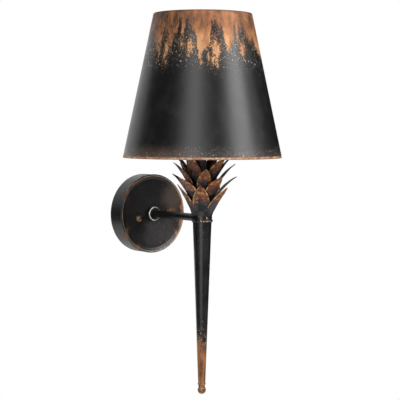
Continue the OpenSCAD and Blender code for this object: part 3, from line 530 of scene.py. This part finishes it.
# %% Colour, flecks and dust of the shade
def shade_light(place):
    """Brighter copper low on the tongues, browner near the top, and painted light: brighter in
    front, browner at the flanks.
    """
    angle, height = round_torch(place)
    # Painted light: the copper is brighter on the front, towards the camera's side, and browner
    # at the flanks
    front = 1 - abs(angle - 8).ramp(18, 62)
    tongues = 1 - height.ramp(262, 312)
    brush = noise(place, 120, 4, upright=0.1, shift=15)
    band = front * 0.1 + tongues * 0.5 + 0.28 + brush.swing(0.85)
    return (1 - height.ramp(96, 126)).between(band, 0.66)


def shade_flecks(place):
    """Tiny pale specks where the band ends, down the right side and along the bottom."""
    angle, height = round_torch(place)
    dots = noise(place, 620, 3, shift=16)
    crumbs = noise(place, 260, 5, upright=0.8, shift=17, roughness=0.75)
    near = height.ramp(215, 240) * (1 - height.ramp(275, 300))
    near = near.top(angle.ramp(25, 50) * height.ramp(190, 235) * 0.8)
    low = 1 - height.ramp(98, 128)
    big = (crumbs + near * 0.066 + low * 0.055).ramp(0.678, 0.688)
    small = (dots + near * 0.05 + low * 0.045).ramp(0.712, 0.722)
    rim = (1 - height.ramp(97.4, 98.8)) * noise(place, 150, 3, shift=18).ramp(0.42, 0.58)
    return (big.top(small) * near.top(low) * 0.85).top(rim * 0.7) * (1 - inside_shade(place))


def shade_haze(place):
    """Brown dust above the foot, most of it on the left, and a little grey all round."""
    angle, height = round_torch(place)
    cloud = noise(place, 50, 4, shift=19).swing(0.8)
    foot = 1 - height.ramp(97, 120)
    return foot * (1 - angle.ramp(-25, 5)) * (cloud + 0.75), foot * (cloud + 0.3).top(0)


shade_paint = aged_paint(
    "shade_paint", shade_wear, shade_light, scuff=0.2, shift=3,
    haze=shade_haze, flecks=shade_flecks,
)
dress(shade_paint, "shade_shell")

# %% [markdown]
# ## Leaves bent from sheet
# Each real leaf is cut from sheet, creased along its midrib, hammered over a former
# until it curls outward, and brazed to a small hub. It could be carved from a block or
# pulled out of one vertex after another, but the sheet would come out uneven. The blank
# is made as the real one is: a flat grid whose long rows are lifted for the crease and
# whose cross rows are scaled to the leaf's outline. A curve then bends it along the
# midrib. The lowest leaves are brazed to the outside of the cup, so that they seem to
# grow out of it.

# %% Sizes of the leaves
# Metres; a tip or a midrib's point is a radius from the torch's axis and a height
LEAVES = 5
ROWS, COLUMNS = 12, 6
SHEET, DENT = 0.0009, 0.0004
HUB_R, HUB_T, HUB_WALL = 0.010, 0.0016, 0.0045
FIRST_HUB, TIER_STEP = 0.012, 0.013
TIPS = [(0.0435, 0.052), (0.052, 0.069), (0.053, 0.086), (0.047, 0.102), (0.036, 0.112)]
LOWEST_MIDRIB = [(0.0163, 0.0042), (0.017, 0.0135), (0.0275, 0.027), TIPS[0]]
# Half widths at the root, where a leaf is widest and at its tip, tier by tier
ROOT_WIDTHS = [0.0098, 0.004, 0.004, 0.004, 0.004]
HALF_WIDTHS = [0.0137, 0.013, 0.0115, 0.0125, 0.0085]
TIP_WIDTH = 0.0004
# Share of the length at which it is widest, and how full it stays towards the tip
WIDEST_AT = [0.46, 0.5, 0.5, 0.5, 0.5]
FULLNESS = [2.7, 2.1, 1.8, 2.0, 2.1]
print("widest leaf:", 2 * max(HALF_WIDTHS), "farthest tip:", max(TIPS))

# %% Midribs and outlines
def smooth(share):
    """0 up to 0, 1 from 1 on, with a soft start and end between them."""
    share = max(0, min(1, share))
    return share * share * (3 - 2 * share)


def hub_foot(tier):
    """Height of the lower side of a tier's hub."""
    return FIRST_HUB + TIER_STEP * tier


def midrib(tier):
    """Four control points of a leaf's midrib, from the root to the tip."""
    if tier == 0:
        return LOWEST_MIDRIB
    low = hub_foot(tier) + HUB_T / 2
    tip_r, tip_z = TIPS[tier]
    spread, rise = tip_r - HUB_R, tip_z - low
    bend = (HUB_R + 0.48 * spread, low + 0.64 * rise)
    return [(HUB_R, low), (HUB_R + 0.002 + 0.22 * spread, low), bend, TIPS[tier]]


def half_width(tier, share):
    """Half width of a leaf at a share of its length."""
    root, widest, widest_at = ROOT_WIDTHS[tier], HALF_WIDTHS[tier], WIDEST_AT[tier]
    if share < widest_at:
        return root + (widest - root) * smooth(share / widest_at)
    fall = ((share - widest_at) / (1 - widest_at)) ** FULLNESS[tier]
    return TIP_WIDTH + (widest - TIP_WIDTH) * (1 - fall)


print("half width of a low leaf:", [round(half_width(0, i / 5), 4) for i in range(6)])

# %% Lengths along a midrib
def point_on(path, share):
    """Point at a share of a midrib's curve, in the plane of X and Z."""
    left = 1 - share
    weights = (left**3, 3 * left**2 * share, 3 * left * share**2, share**3)
    radius, height = (sum(w * point[i] for w, point in zip(weights, path)) for i in (0, 1))
    return Vector((radius, 0, height))


def row_lengths(path, steps=20):
    """Length along the midrib at each row of the grid, summed in so many steps a row."""
    fine = [point_on(path, i / (ROWS * steps)) for i in range(ROWS * steps + 1)]
    total, run = [0.0], 0.0
    for i in range(1, len(fine)):
        run += (fine[i] - fine[i - 1]).length
        if i % steps == 0:
            total.append(run)
    return total


print("midribs in mm:", [round(row_lengths(midrib(i))[-1] * 1000, 1) for i in range(len(TIPS))])

# %% Select by place
def pick(thing, test, kind="VERT"):
    """In edit mode, selects just the vertices or faces whose place passes the test."""
    bpy.ops.mesh.select_mode(type=kind)
    bpy.ops.mesh.select_all(action="DESELECT")
    bpy.ops.object.mode_set(mode="OBJECT")
    parts = thing.data.vertices if kind == "VERT" else thing.data.polygons
    for part in parts:
        part.select = test(part.co if kind == "VERT" else part.center)
    bpy.ops.object.mode_set(mode="EDIT")


def alone(*things):
    """Selects just these objects; the first one becomes active."""
    bpy.ops.object.select_all(action="DESELECT")
    for thing in things:
        thing.select_set(True)
    bpy.context.view_layer.objects.active = things[0]


def apply_modifier(thing, kind, **settings):
    """Adds a modifier and applies it at once."""
    alone(thing)
    modifier = thing.modifiers.new(kind.lower(), kind)
    for name, value in settings.items():
        setattr(modifier, name, value)
    bpy.ops.object.modifier_apply(modifier=modifier.name)


print("selection helpers ready")

# %% A flat blank
# The grid waits beyond X = 1, so that no row is picked again once it has its own place
WAITING = 1
NEAR = 0.01


def crease(tier, share):
    """Rise of a leaf's sides over its midrib, as a share of its half width."""
    return 0.32 if tier == 0 else 0.36 * smooth((share - 0.1) / 0.28)


def flat_blank(tier):
    """A flat grid along X, creased in the middle and cut to the leaf's outline."""
    bpy.ops.object.select_all(action="DESELECT")
    bpy.ops.mesh.primitive_grid_add(
        x_subdivisions=ROWS, y_subdivisions=COLUMNS, size=1, location=(0, 0, 0)
    )
    blank = bpy.context.object
    bpy.ops.object.mode_set(mode="EDIT")
    bpy.ops.transform.translate(value=(WAITING + 0.5, 0, 0))
    for column in range(COLUMNS + 1):
        side = 2 * column / COLUMNS - 1
        pick(blank, lambda co: abs(co.y - side / 2) < NEAR)
        bpy.ops.transform.translate(value=(0, 0, abs(side) ** 1.4 / 2))
    run = row_lengths(midrib(tier))
    for row in range(ROWS + 1):
        share = row / ROWS
        wide = 2 * half_width(tier, share)
        tall = wide * crease(tier, share)
        pick(blank, lambda co: abs(co.x - WAITING - share) < NEAR)
        bpy.ops.transform.resize(value=(1, wide, tall), center_override=(0, 0, 0))
        bpy.ops.transform.translate(value=(run[row] - WAITING - share, 0, 0))
    bpy.ops.object.mode_set(mode="OBJECT")
    return blank


print("a blank has", ROWS * COLUMNS, "faces")

# %% A leaf bent from its blank
def bend_curve(path):
    """A Bezier curve through a midrib, in the plane of X and Z."""
    data = bpy.data.curves.new("midrib", "CURVE")
    data.dimensions = "3D"
    data.twist_mode = "Z_UP"
    data.resolution_u = 64
    spline = data.splines.new("BEZIER")
    spline.bezier_points.add(1)
    points = [Vector((r, 0, z)) for r, z in path]
    for knot, place, handle in zip(spline.bezier_points, (0, 3), (1, 2)):
        knot.handle_left_type = knot.handle_right_type = "FREE"
        knot.co = points[place]
        knot.handle_left = knot.handle_right = points[handle]
    spline.bezier_points[0].handle_left = 2 * points[0] - points[1]
    spline.bezier_points[1].handle_right = 2 * points[3] - points[2]
    curve = bpy.data.objects.new("midrib", data)
    bpy.context.scene.collection.objects.link(curve)
    return curve


def leaf(tier):
    """One leaf at azimuth 0: its blank bent, dented and given its thickness."""
    sheet = flat_blank(tier)
    curve = bend_curve(midrib(tier))
    apply_modifier(sheet, "CURVE", object=curve, deform_axis="POS_X")
    bpy.data.objects.remove(curve)
    alone(sheet)
    bpy.ops.object.mode_set(mode="EDIT")
    bpy.ops.mesh.select_all(action="SELECT")
    bpy.ops.transform.vertex_random(offset=DENT, uniform=0.3, normal=0.5, seed=tier + 1)
    bpy.ops.mesh.normals_make_consistent(inside=False)
    bpy.ops.object.mode_set(mode="OBJECT")
    apply_modifier(sheet, "SOLIDIFY", thickness=SHEET, offset=0)
    apply_modifier(sheet, "SUBSURF", levels=2, render_levels=2)
    return sheet


print("sheet in mm:", SHEET * 1000)

# %% [markdown]
# ## The leaves' finish
# A leaf's black is rubbed through to rust, copper and olive over most of its length,
# and its edges to gold, while the root stays black. The pattern has to follow the leaf,
# so its length and its sides are read from the grid's own UV map, which the bending
# keeps. Leaves at the flanks and on top are blacker, so they get the same finish with a
# black tip that starts earlier; on the top tier, under the shade, this black is partly
# painted shade.

# %% Colours and masks of the leaves
RUST, RED_COPPER, TAN = (0.15, 0.052, 0.026), (0.36, 0.12, 0.04), (0.52, 0.26, 0.105)
OLIVE, MUTED_PINK, SLATE = (0.12, 0.085, 0.045), (0.19, 0.105, 0.08), (0.047, 0.04, 0.046)
GOLD_EDGE, HUB_EDGE = (0.68, 0.43, 0.22), (0.4, 0.22, 0.12)


def leaf_chart(place):
    """Share of a leaf's length, and how far a point is from the midrib, 1 at an edge."""
    chart = place.node("TexCoord", out=2)
    length, side = (chart.node("SeparateXYZ", {0: chart}, out=i) for i in range(2))
    return length, abs(side - 0.5) * 2


def leaf_edge(place, length, side, height):
    """1 along a leaf's rubbed edge: nearly whole on the lowest leaves, broken above."""
    clouds = noise(place, 120, 5, shift=31, roughness=0.65)
    low_leaf = 1 - height.ramp(45, 60)
    kept = (noise(place, 75, 3, shift=34) + low_leaf * 0.07).ramp(0.5, 0.54)
    return (side + clouds.swing(1.2)).ramp(0.84, 0.95) * length.ramp(0.3, 0.45) * kept


print("gold of a rubbed edge:", GOLD_EDGE)

# %% Finish of a leaf
def leaf_face(name, black_from=None):
    """Black root, rust, copper and olive above it, a gold edge, black from a share on."""
    material, place, shader = new_material(name)
    angle, height = round_torch(place)
    length, side = leaf_chart(place)
    clouds = noise(place, 110, 5, shift=35, roughness=0.65)
    crumbs = noise(place, 520, 4, shift=32)
    rust = noise(place, 170, 4, shift=42)
    edge = leaf_edge(place, length, side, height)

    # Where the black is gone
    root = (1 - height.ramp(26, 34)) * 0.12
    worn = length - root + side * side * 0.3 + clouds.swing(1.4) + crumbs.swing(0.6)
    worn = worn.ramp(0.56, 0.7).top(edge)
    if black_from:
        tip = (length + clouds.swing(0.6)).ramp(black_from, black_from + 0.08)
        worn = worn * (1 - tip)

    # What shows there: rust and copper in clouds, browner on the low front leaf's right
    copper = rust.ramp(0.42, 0.56).mix(RUST, RED_COPPER)
    copper = (noise(place, 130, 4, shift=41).ramp(0.54, 0.64) * 0.8).mix(copper, OLIVE)
    copper = (angle.ramp(-16, -40) * 0.8).mix(copper, MUTED_PINK)
    right_half = angle.ramp(-2, 14) * (1 - angle.ramp(40, 50)) * (1 - height.ramp(50, 56))
    copper = (right_half * 0.7).mix(copper, RUST)
    tan = noise(place, 230, 3, shift=43) + (length - 0.6) * 0.1 - right_half * 0.06
    copper = tan.ramp(0.54, 0.64).mix(copper, TAN)
    copper = (crumbs.ramp(0.62, 0.66) * 0.6).mix(copper, PAINT)

    black = (noise(place, 60, 4, shift=44) + length * 0.25).ramp(0.5, 0.62).mix(PAINT, SLATE)
    grain = noise(place, 900, 3, shift=45)
    plug(
        shader,
        Base_Color=worn.mix(black, edge.mix(copper, GOLD_EDGE)),
        Metallic=worn * 0.3,
        Roughness=worn * 0.08 + rust * 0.2 + 0.34,
        Specular_IOR_Level=0.3,
        Normal=bump(worn * -0.5 + grain * 0.6 + rust * 1.4, 0.0003),
    )
    return material


worn_copper = leaf_face("leaf_worn_copper")
black_tipped = leaf_face("leaf_black_tip", black_from=0.74)
half_black = leaf_face("leaf_half_black", black_from=0.5)
shaded_black = leaf_face("leaf_nearly_black", black_from=0.4)
print("leaf finishes:", [m.name for m in (worn_copper, black_tipped, half_black, shaded_black)])

# %% Finish of the hubs
def hub_face():
    """Black but for a little wear at the edges."""
    material, place, shader = new_material("hub_black")
    _, height = round_torch(place)
    length, side = leaf_chart(place)
    worn = leaf_edge(place, length, side, height) * side.ramp(0.88, 0.96) * 0.6
    grain = noise(place, 900, 3, shift=46)
    plug(
        shader,
        Base_Color=worn.mix(PAINT, HUB_EDGE),
        Roughness=grain * 0.1 + 0.42,
        Specular_IOR_Level=0.3,
        Normal=bump(grain, 0.0003),
    )
    return material


hub_black = hub_face()
print("hub finish:", hub_black.name)

# %% [markdown]
# ## Five tiers of five leaves
# One leaf per tier is modelled, and five copies of it, each with its own mesh, are
# tipped and turned by a few degrees, because hand-bent leaves never sit quite alike.
# Modelling all 25 would take longer and show little more. The hub in the middle is a
# flat-sided washer that sits on the threaded tube.

# %% The hub of a tier
# Degrees from +X to the first leaf
FIRST_TURN = -133


def on_torch(turn):
    """Matrix that moves a piece onto the torch's axis, turned by so many degrees."""
    return Matrix.Translation(torch_axis) @ Matrix.Rotation(math.radians(turn), 4, "Z")


def hub(tier):
    """A flat-sided washer with one side for each leaf."""
    middle = hub_foot(tier) + HUB_T / 2
    corner_r = HUB_R / math.cos(math.pi / LEAVES)
    bpy.ops.object.select_all(action="DESELECT")
    bpy.ops.mesh.primitive_cylinder_add(
        vertices=LEAVES, radius=corner_r, depth=HUB_T, location=(0, 0, middle)
    )
    washer = bpy.context.object
    bpy.ops.object.transform_apply(location=True, rotation=True, scale=True)
    bpy.ops.object.mode_set(mode="EDIT")
    pick(washer, lambda co: abs(abs(co.z - middle) - HUB_T / 2) < 1e-5, kind="FACE")
    bpy.ops.mesh.inset(thickness=HUB_WALL, use_individual=True)
    bpy.ops.mesh.bridge_edge_loops()
    bpy.ops.mesh.select_all(action="SELECT")
    bpy.ops.mesh.normals_make_consistent(inside=False)
    bpy.ops.object.mode_set(mode="OBJECT")
    washer.data.materials.append(hub_black)
    washer.matrix_world = on_torch(FIRST_TURN + 180 / LEAVES * (1 + tier % 2))
    return washer


print("hubs stand at", [round(hub_foot(tier), 3) for tier in range(len(TIPS))])

# %% The place of each leaf
# Degrees by which whole tiers are turned
TIER_TURNS = (0, 0, 10, 8, 0)
# Degrees by which single leaves, by tier and number, are turned and tipped by hand
BENT_BY_HAND = {
    (0, 0): (0, -3), (0, 1): (-9, 4), (0, 4): (0, -4),
    (1, 0): (4, 3), (1, 1): (-18, 5), (1, 4): (-3, 5),
    (2, 0): (0, 8), (2, 4): (0, -3),
    (3, 0): (4, 7), (3, 1): (-24, 4),
}
# Degrees from the camera's side at which the flanks begin
FLANK = 60
dice = random.Random(7)


def turn_and_tilt(tier, number):
    """Degrees by which a leaf is turned round the torch and tipped on its hub."""
    hand_turn, hand_tilt = BENT_BY_HAND.get((tier, number), (0, 0))
    turn = FIRST_TURN + TIER_TURNS[tier] + 360 / LEAVES * (number + tier % 2 / 2)
    turn += hand_turn + dice.uniform(-1, 1)
    tilt = hand_tilt if tier == 0 else hand_tilt + dice.uniform(-1, 1)
    return turn, tilt


def leaf_finish(tier, turn):
    """Copper for the lowest and the front leaves, blacker at the flanks, and on top black that
    is partly painted shade.
    """
    from_front = (turn + math.degrees(SHOWN_SIDE) + 180) % 360 - 180
    # The top tier sits under the shade: its early black is partly painted shade
    if tier == len(TIPS) - 1:
        return shaded_black
    if tier == 0 or abs(from_front) <= FLANK:
        return worn_copper
    return black_tipped if from_front < 0 else half_black


def copy_leaf(first, tier, number):
    """A copy of a tier's first leaf at its own place, in its own finish."""
    copy = first.copy()
    copy.data = first.data.copy()
    bpy.context.scene.collection.objects.link(copy)
    turn, tilt = turn_and_tilt(tier, number)
    root = Matrix.Translation((HUB_R, 0, hub_foot(tier)))
    lean = Matrix.Rotation(math.radians(tilt), 4, "Y")
    copy.matrix_world = on_torch(turn) @ root @ lean @ root.inverted()
    copy.data.materials.append(leaf_finish(tier, turn))
    return copy


print("leaves bent by hand:", len(BENT_BY_HAND))

# %% Build the tiers
for tier in range(len(TIPS)):
    first = leaf(tier)
    leaves = [copy_leaf(first, tier, number) for number in range(LEAVES)]
    bpy.data.objects.remove(first)
    alone(*leaves, hub(tier))
    bpy.ops.object.transform_apply(location=True, rotation=True, scale=True)
    bpy.ops.object.join()
    piece = bpy.context.object
    piece.name = f"leaves_{tier + 1}"
    piece.data.name = piece.name
    bpy.ops.object.shade_smooth_by_angle(angle=math.radians(40))
    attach(piece, "wall_mount")
    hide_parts(f"leaf_tier_{tier + 1}")
    print(piece.name, len(piece.data.polygons), "faces", [round(v, 3) for v in piece.dimensions])

# %% [markdown]
# ## Wear on the wall plate
# The plate is the same black, rubbed bare along its raised rim and in a few broad
# patches, where hands and cloths touch it. Chance would put the patches anywhere, so
# each is an ellipse given by its middle and its half widths in millimetres, and noise
# eats its border. A brown haze lies on the right of the face, partly dust and partly a
# painted sheen where the face would catch the light, and a grey one below.

# %% Patches on the plate
# Right of and above the middle, half widths, and how strong a patch is
PLATE_PATCHES = [
    (-55, 38, 7, 18, 1.1), (-42, 52, 16, 7, 1.1), (-54, -40, 6, 18, 1.1),
    (-38, -55, 14, 6, 1.2), (62, 11, 4.6, 15, 1.1), (59.5, -21, 4.8, 13, 1.1),
    (51, -37, 6, 6, 0.6), (43, 5.5, 11, 3.6, 0.85), (20, 60, 2.2, 1.8, 1.2),
    (56, 30, 3.5, 9, 0.5), (10, -62.5, 24, 1.2, 0.9), (-20, 62, 24, 1.0, 0.8),
]
RUST_PATCH = [(43, 5.5, 16, 8, 1.0)]
# Partly dust and partly a painted sheen, where the right of the face would catch the light
BROWN_DUST_AND_SHEEN = [(48, 28, 34, 32, 1.0)]
GREY_SCUFF = [(20, -34, 48, 36, 1.0)]
CREST_R = 62.6


def plate_place(place):
    """Millimetres to the right of and above the plate's middle, and out of the wall."""
    x, y, z = in_mm(place)
    return x, z, -y


def ellipses(across, up, patches):
    """Highest of the patches at a point: 1 in a middle, 0 on a border, less outside."""
    best = None
    for middle, level, wide, tall, strong in patches:
        patch = (1 - distance((across - middle) / wide, (up - level) / tall)) * strong
        best = patch if best is None else best.top(patch)
    return best


def crest_line(radius, out, ragged):
    """1 along the crest of the plate's rim, in a broken line."""
    crest = 1 - abs(radius - CREST_R) / 0.8
    return (crest + ragged.swing(3.4)).ramp(0.1, 0.5) * out.ramp(28.6, 30)


print("patches on the plate:", len(PLATE_PATCHES))

# %% Finish of the plate
def plate_wear(place):
    """1 where the plate is bare: the rim's crest, patches, specks and the back edge."""
    across, up, out = plate_place(place)
    ragged = noise(place, 150, 5, shift=51, roughness=0.65)
    crumbs = noise(place, 620, 4, shift=52)
    patches = ellipses(across, up, PLATE_PATCHES) + ragged.swing(2.2) + crumbs.swing(1.2)
    specks = (crumbs + (patches + 1.2).ramp(0, 1.4) * 0.08).ramp(0.68, 0.7)
    line = crest_line(distance(across, up), out, ragged)
    back_edge = (ragged.swing(3) + 1.6 - out).ramp(0, 0.6)
    front = out.ramp(21, 25)
    return (patches.ramp(0.12, 0.3) * front).top(line).top(specks * 0.8 * front).top(back_edge)


def plate_light(place):
    """Bright copper on the right of the rim, brown on the left and by the right knob."""
    across, up, _ = plate_place(place)
    rust = ellipses(across, up, RUST_PATCH).ramp(0, 0.5)
    clouds = noise(place, 60, 3, shift=53).swing(0.6)
    return across.ramp(-45, 60) * 0.45 - rust * 0.4 + clouds + 0.17


def plate_haze(place):
    """Brown dust and a painted sheen of light on the right of the face, and grey scuffs below.
    """
    across, up, _ = plate_place(place)
    cloud = noise(place, 42, 4, shift=54)
    brown = (ellipses(across, up, BROWN_DUST_AND_SHEEN) + cloud.swing(1.1)).ramp(0, 0.7)
    grey = (ellipses(across, up, GREY_SCUFF) + cloud.swing(1.4)).ramp(-0.1, 0.9)
    return brown * 0.9, grey * 0.7


def plate_flecks(place):
    """Pale metal along the crest, and pale dots low on the face."""
    across, up, out = plate_place(place)
    shine = noise(place, 230, 4, shift=55, roughness=0.65)
    line = crest_line(distance(across, up) + 0.15, out, shine)
    dots = noise(place, 300, 5, shift=56, roughness=0.75)
    worn_side = (1 - up.ramp(-20, 30)) * across.ramp(-20, 30)
    return (line * 0.7).top(dots.ramp(0.63, 0.645) * worn_side * out.ramp(26, 27.5) * 0.5)


plate_paint = aged_paint(
    "plate_aged_black", plate_wear, plate_light, scuff=0.5, shift=60,
    haze=plate_haze, flecks=plate_flecks,
)
dress(plate_paint, "wall_plate")

# %% [markdown]
# ## Arm, collar, cup and stem
# These share the plate's paint. What differs is where it is worn: a silvery edge on the
# collar, chips and a gold line on the front of the cup's bead, which is partly a painted
# highlight, and the lower quarter of the stem, which was dipped in copper and meets the
# black in a ragged line with specks above it. On the stem the copper is painted darker
# towards the right, as shade.
# A second material could be given to the tip's faces, but its border would be a clean
# circle, so the same recipe draws the border by height and noise.

# %% Paint of the arm and the cup
# Millimetres: height of the bead's middle
BEAD_HEIGHT = -4.1
CHIPPED_METAL = (0.7, 0.5, 0.3)


def arm_wear(place):
    """A few tiny chips only."""
    return noise(place, 700, 3, shift=71).ramp(0.7, 0.72)


def cup_wear(place):
    """A broken gold line of wear on the bead, kept to its front, where it is partly a painted
    highlight.
    """
    angle, height = round_torch(place)
    dashes = noise(place, 330, 3, upright=0.1, shift=73)
    on_bead = 1 - abs(height - BEAD_HEIGHT).ramp(0.7, 1.2)
    # Painted highlight: the gold line is kept to the front of the bead, where it catches the
    # light
    ahead = 1 - abs(angle - 15).ramp(26, 44)
    return dashes.ramp(0.45, 0.5) * ahead * on_bead * 0.85


def cup_flecks(place):
    """Small pale chips in the cup's paint."""
    return noise(place, 250, 5, shift=72, roughness=0.75).ramp(0.595, 0.61) * 0.7


arm_paint = aged_paint("arm_aged_black", arm_wear, light=0.4, scuff=0.15, shift=76)
cup_paint = aged_paint(
    "cup_aged_black", cup_wear, light=0.6, scuff=0.4, shift=77,
    metal=CHIPPED_METAL, flecks=cup_flecks,
)
dress(arm_paint, "arm_tube")
dress(cup_paint, "leaf_cup")

# %% Worn collar at the arm's root
# Millimetres: radius from which its front edge is bare
BARE_R = 10.2
PALE_METAL = (0.8, 0.78, 0.74)

collar_paint, place, collar_shader = new_material("collar_worn_edge")
across, up, out = plate_place(place)
ragged = noise(place, 260, 4, shift=74)
grain = noise(place, 900, 3, shift=75)
rubbed = (distance(across, up) - BARE_R + ragged.swing(3)).ramp(-0.3, 0.3)
rubbed = rubbed * (out + ragged.swing(1.6)).ramp(33.9, 34.5)
plug(
    collar_shader,
    Base_Color=rubbed.mix(PAINT, PALE_METAL),
    Metallic=rubbed * 0.4,
    Roughness=grain * 0.15 + 0.34,
    Specular_IOR_Level=0.35,
    Normal=bump(grain - rubbed * 0.5, 0.0002),
)
dress(collar_paint, "root_ring")
print(collar_paint.name, "has", len(collar_paint.node_tree.nodes), "nodes")

# %% Paint of the stem, with its copper tip
# Millimetres: height at which the copper tip begins
COPPER_FROM = -194


def stem_wear(place):
    """1 on the copper tip, in ragged tongues at its border and in specks above it."""
    angle, height = round_torch(place)
    tongues = noise(place, 210, 4, upright=0.3, shift=81)
    ragged = noise(place, 520, 4, shift=82)
    depth = COPPER_FROM - height + tongues.swing(60) + ragged.swing(16)
    depth = depth - angle.ramp(-40, 60) * 6
    specks = (ragged + (-height).ramp(150, 198) * 0.12).ramp(0.7, 0.72)
    lost = (ragged + (height + 206).ramp(-25, 10) * 0.07).ramp(0.64, 0.66)
    return (depth.ramp(-0.5, 0.8) * (1 - lost)).top(specks)


def stem_flecks(place):
    """Pale specks, most of them just above the copper tip."""
    _, height = round_torch(place)
    dots = noise(place, 420, 5, shift=83, roughness=0.75)
    near = (-height).ramp(160, 190) * (1 - (-height).ramp(196, 206))
    return (dots + near * 0.065).ramp(0.65, 0.662) * 0.8


def stem_light(place):
    """Even copper, brighter in upright streaks, and painted shade that darkens the right side.
    """
    angle, _ = round_torch(place)
    streaks = noise(place, 150, 4, upright=0.12, shift=84)
    # Painted shade: the copper is darker towards the right side, as if lit from the left
    return streaks.swing(1.3) + 0.46 - angle.ramp(-30, 50) * 0.1


stem_paint = aged_paint(
    "stem_aged_black", stem_wear, stem_light, scuff=0.15, shift=85, flecks=stem_flecks
)
dress(stem_paint, "stem")

# %% [markdown]
# ## Bare and plated metals
# Inside are plated steel, brass contacts and a dark bronze lampholder, and outside only
# the knobs and the ball at the tip. A material could be made by hand for each, but they
# differ only in two colours, in how metallic and how rough they are and in the size of
# their clouds, so one recipe makes them all.

# %% One recipe for plain metals, plastic and ceramic
def plain(
    name, pieces, dull, clean, metallic, roughness, shift,
    scale=80, dent=0.00008, dirt=0.5, **more,
):
    """Two colours in clouds, darker dirt in specks, uneven gloss and a slight bump."""
    material, place, shader = new_material(name)
    clouds = noise(place, scale, 5, shift=shift, roughness=0.6)
    fine = noise(place, scale * 9, 3, shift=shift + 1)
    body = clouds.ramp(0.35, 0.65).mix(dull, clean)
    stains = (clouds * 0.5 + fine * 0.6).ramp(0.6, 0.72) * dirt
    plug(
        shader,
        Base_Color=stains.mix(body, [c * 0.35 for c in dull]),
        Metallic=metallic,
        Roughness=clouds * 0.16 + fine * 0.08 + (roughness - 0.12),
        Normal=bump(fine + clouds * 0.6, dent),
        **more,
    )
    dress(material, *pieces.split())
    print(name, "on", pieces)


# %% Knobs, finial, steel and brass
plain(
    "knob_dull_brass", "left_knob right_knob earth_screw",
    dull=(0.07, 0.04, 0.024), clean=(0.26, 0.15, 0.075),
    metallic=0.5, roughness=0.5, shift=91, scale=230,
)
plain(
    "finial_dark_gilt", "tip_ring finial",
    dull=(0.15, 0.07, 0.035), clean=(0.5, 0.26, 0.12),
    metallic=0.45, roughness=0.4, shift=92, scale=190,
)
plain(
    "zinc_plated_steel",
    "wall_bracket bracket_studs stud_nuts block_screw terminal_screws arm_washer arm_nut"
    " tie_rod leaf_spacers stack_nut lamp_tube holder_nut",
    dull=(0.5, 0.5, 0.49), clean=(0.66, 0.66, 0.67),
    metallic=1.0, roughness=0.38, shift=93, dirt=0.25,
)
plain(
    "brass_contacts",
    "terminal_barrels holder_terminals earth_lug screw_shell centre_contact",
    dull=(0.6, 0.42, 0.18), clean=(0.78, 0.6, 0.3),
    metallic=1.0, roughness=0.32, shift=94, dirt=0.2,
)
plain(
    "tinned_steel", "earth_tag",
    dull=(0.6, 0.6, 0.58), clean=(0.76, 0.76, 0.75),
    metallic=1.0, roughness=0.3, shift=95, dirt=0.2,
)

# %% Lampholder, terminal block and bulb
plain(
    "holder_dark_bronze", "holder_cap holder_sleeve ring_nut shade_carrier",
    dull=(0.02, 0.016, 0.013), clean=(0.06, 0.045, 0.034),
    metallic=0.4, roughness=0.45, shift=96,
)
plain(
    "holder_ceramic", "holder_core",
    dull=(0.72, 0.7, 0.65), clean=(0.84, 0.82, 0.78),
    metallic=0.0, roughness=0.6, shift=97, dirt=0.15,
)
plain(
    "terminal_plastic", "terminal_block",
    dull=(0.7, 0.67, 0.58), clean=(0.8, 0.78, 0.7),
    metallic=0.0, roughness=0.5, shift=98, dirt=0.15,
)
plain(
    "bulb_cap_metal", "bulb_cap",
    dull=(0.6, 0.6, 0.6), clean=(0.74, 0.74, 0.74),
    metallic=1.0, roughness=0.3, shift=99, dirt=0.2,
)
plain(
    "filament_coating", "bulb_filaments",
    dull=(0.75, 0.5, 0.14), clean=(0.9, 0.7, 0.28),
    metallic=0.0, roughness=0.5, shift=100, dirt=0.1,
)
plain(
    "bulb_clear_glass", "bulb_glass",
    dull=(0.93, 0.92, 0.88), clean=(0.97, 0.96, 0.94),
    metallic=0.0, roughness=0.15, shift=104, dirt=0.05, dent=0.00002,
    Transmission_Weight=1.0, IOR=1.3,
)

# %% Sleeves of the wires
plain(
    "brown_sleeve", "live_wire",
    dull=(0.11, 0.045, 0.02), clean=(0.16, 0.07, 0.03),
    metallic=0.0, roughness=0.5, shift=101, scale=200, dirt=0.2,
)
plain(
    "blue_sleeve", "neutral_wire",
    dull=(0.02, 0.09, 0.3), clean=(0.035, 0.13, 0.4),
    metallic=0.0, roughness=0.5, shift=102, scale=200, dirt=0.2,
)
plain(
    "green_sleeve", "earth_wire",
    dull=(0.07, 0.22, 0.03), clean=(0.6, 0.5, 0.04),
    metallic=0.0, roughness=0.5, shift=103, scale=160, dirt=0.1,
)
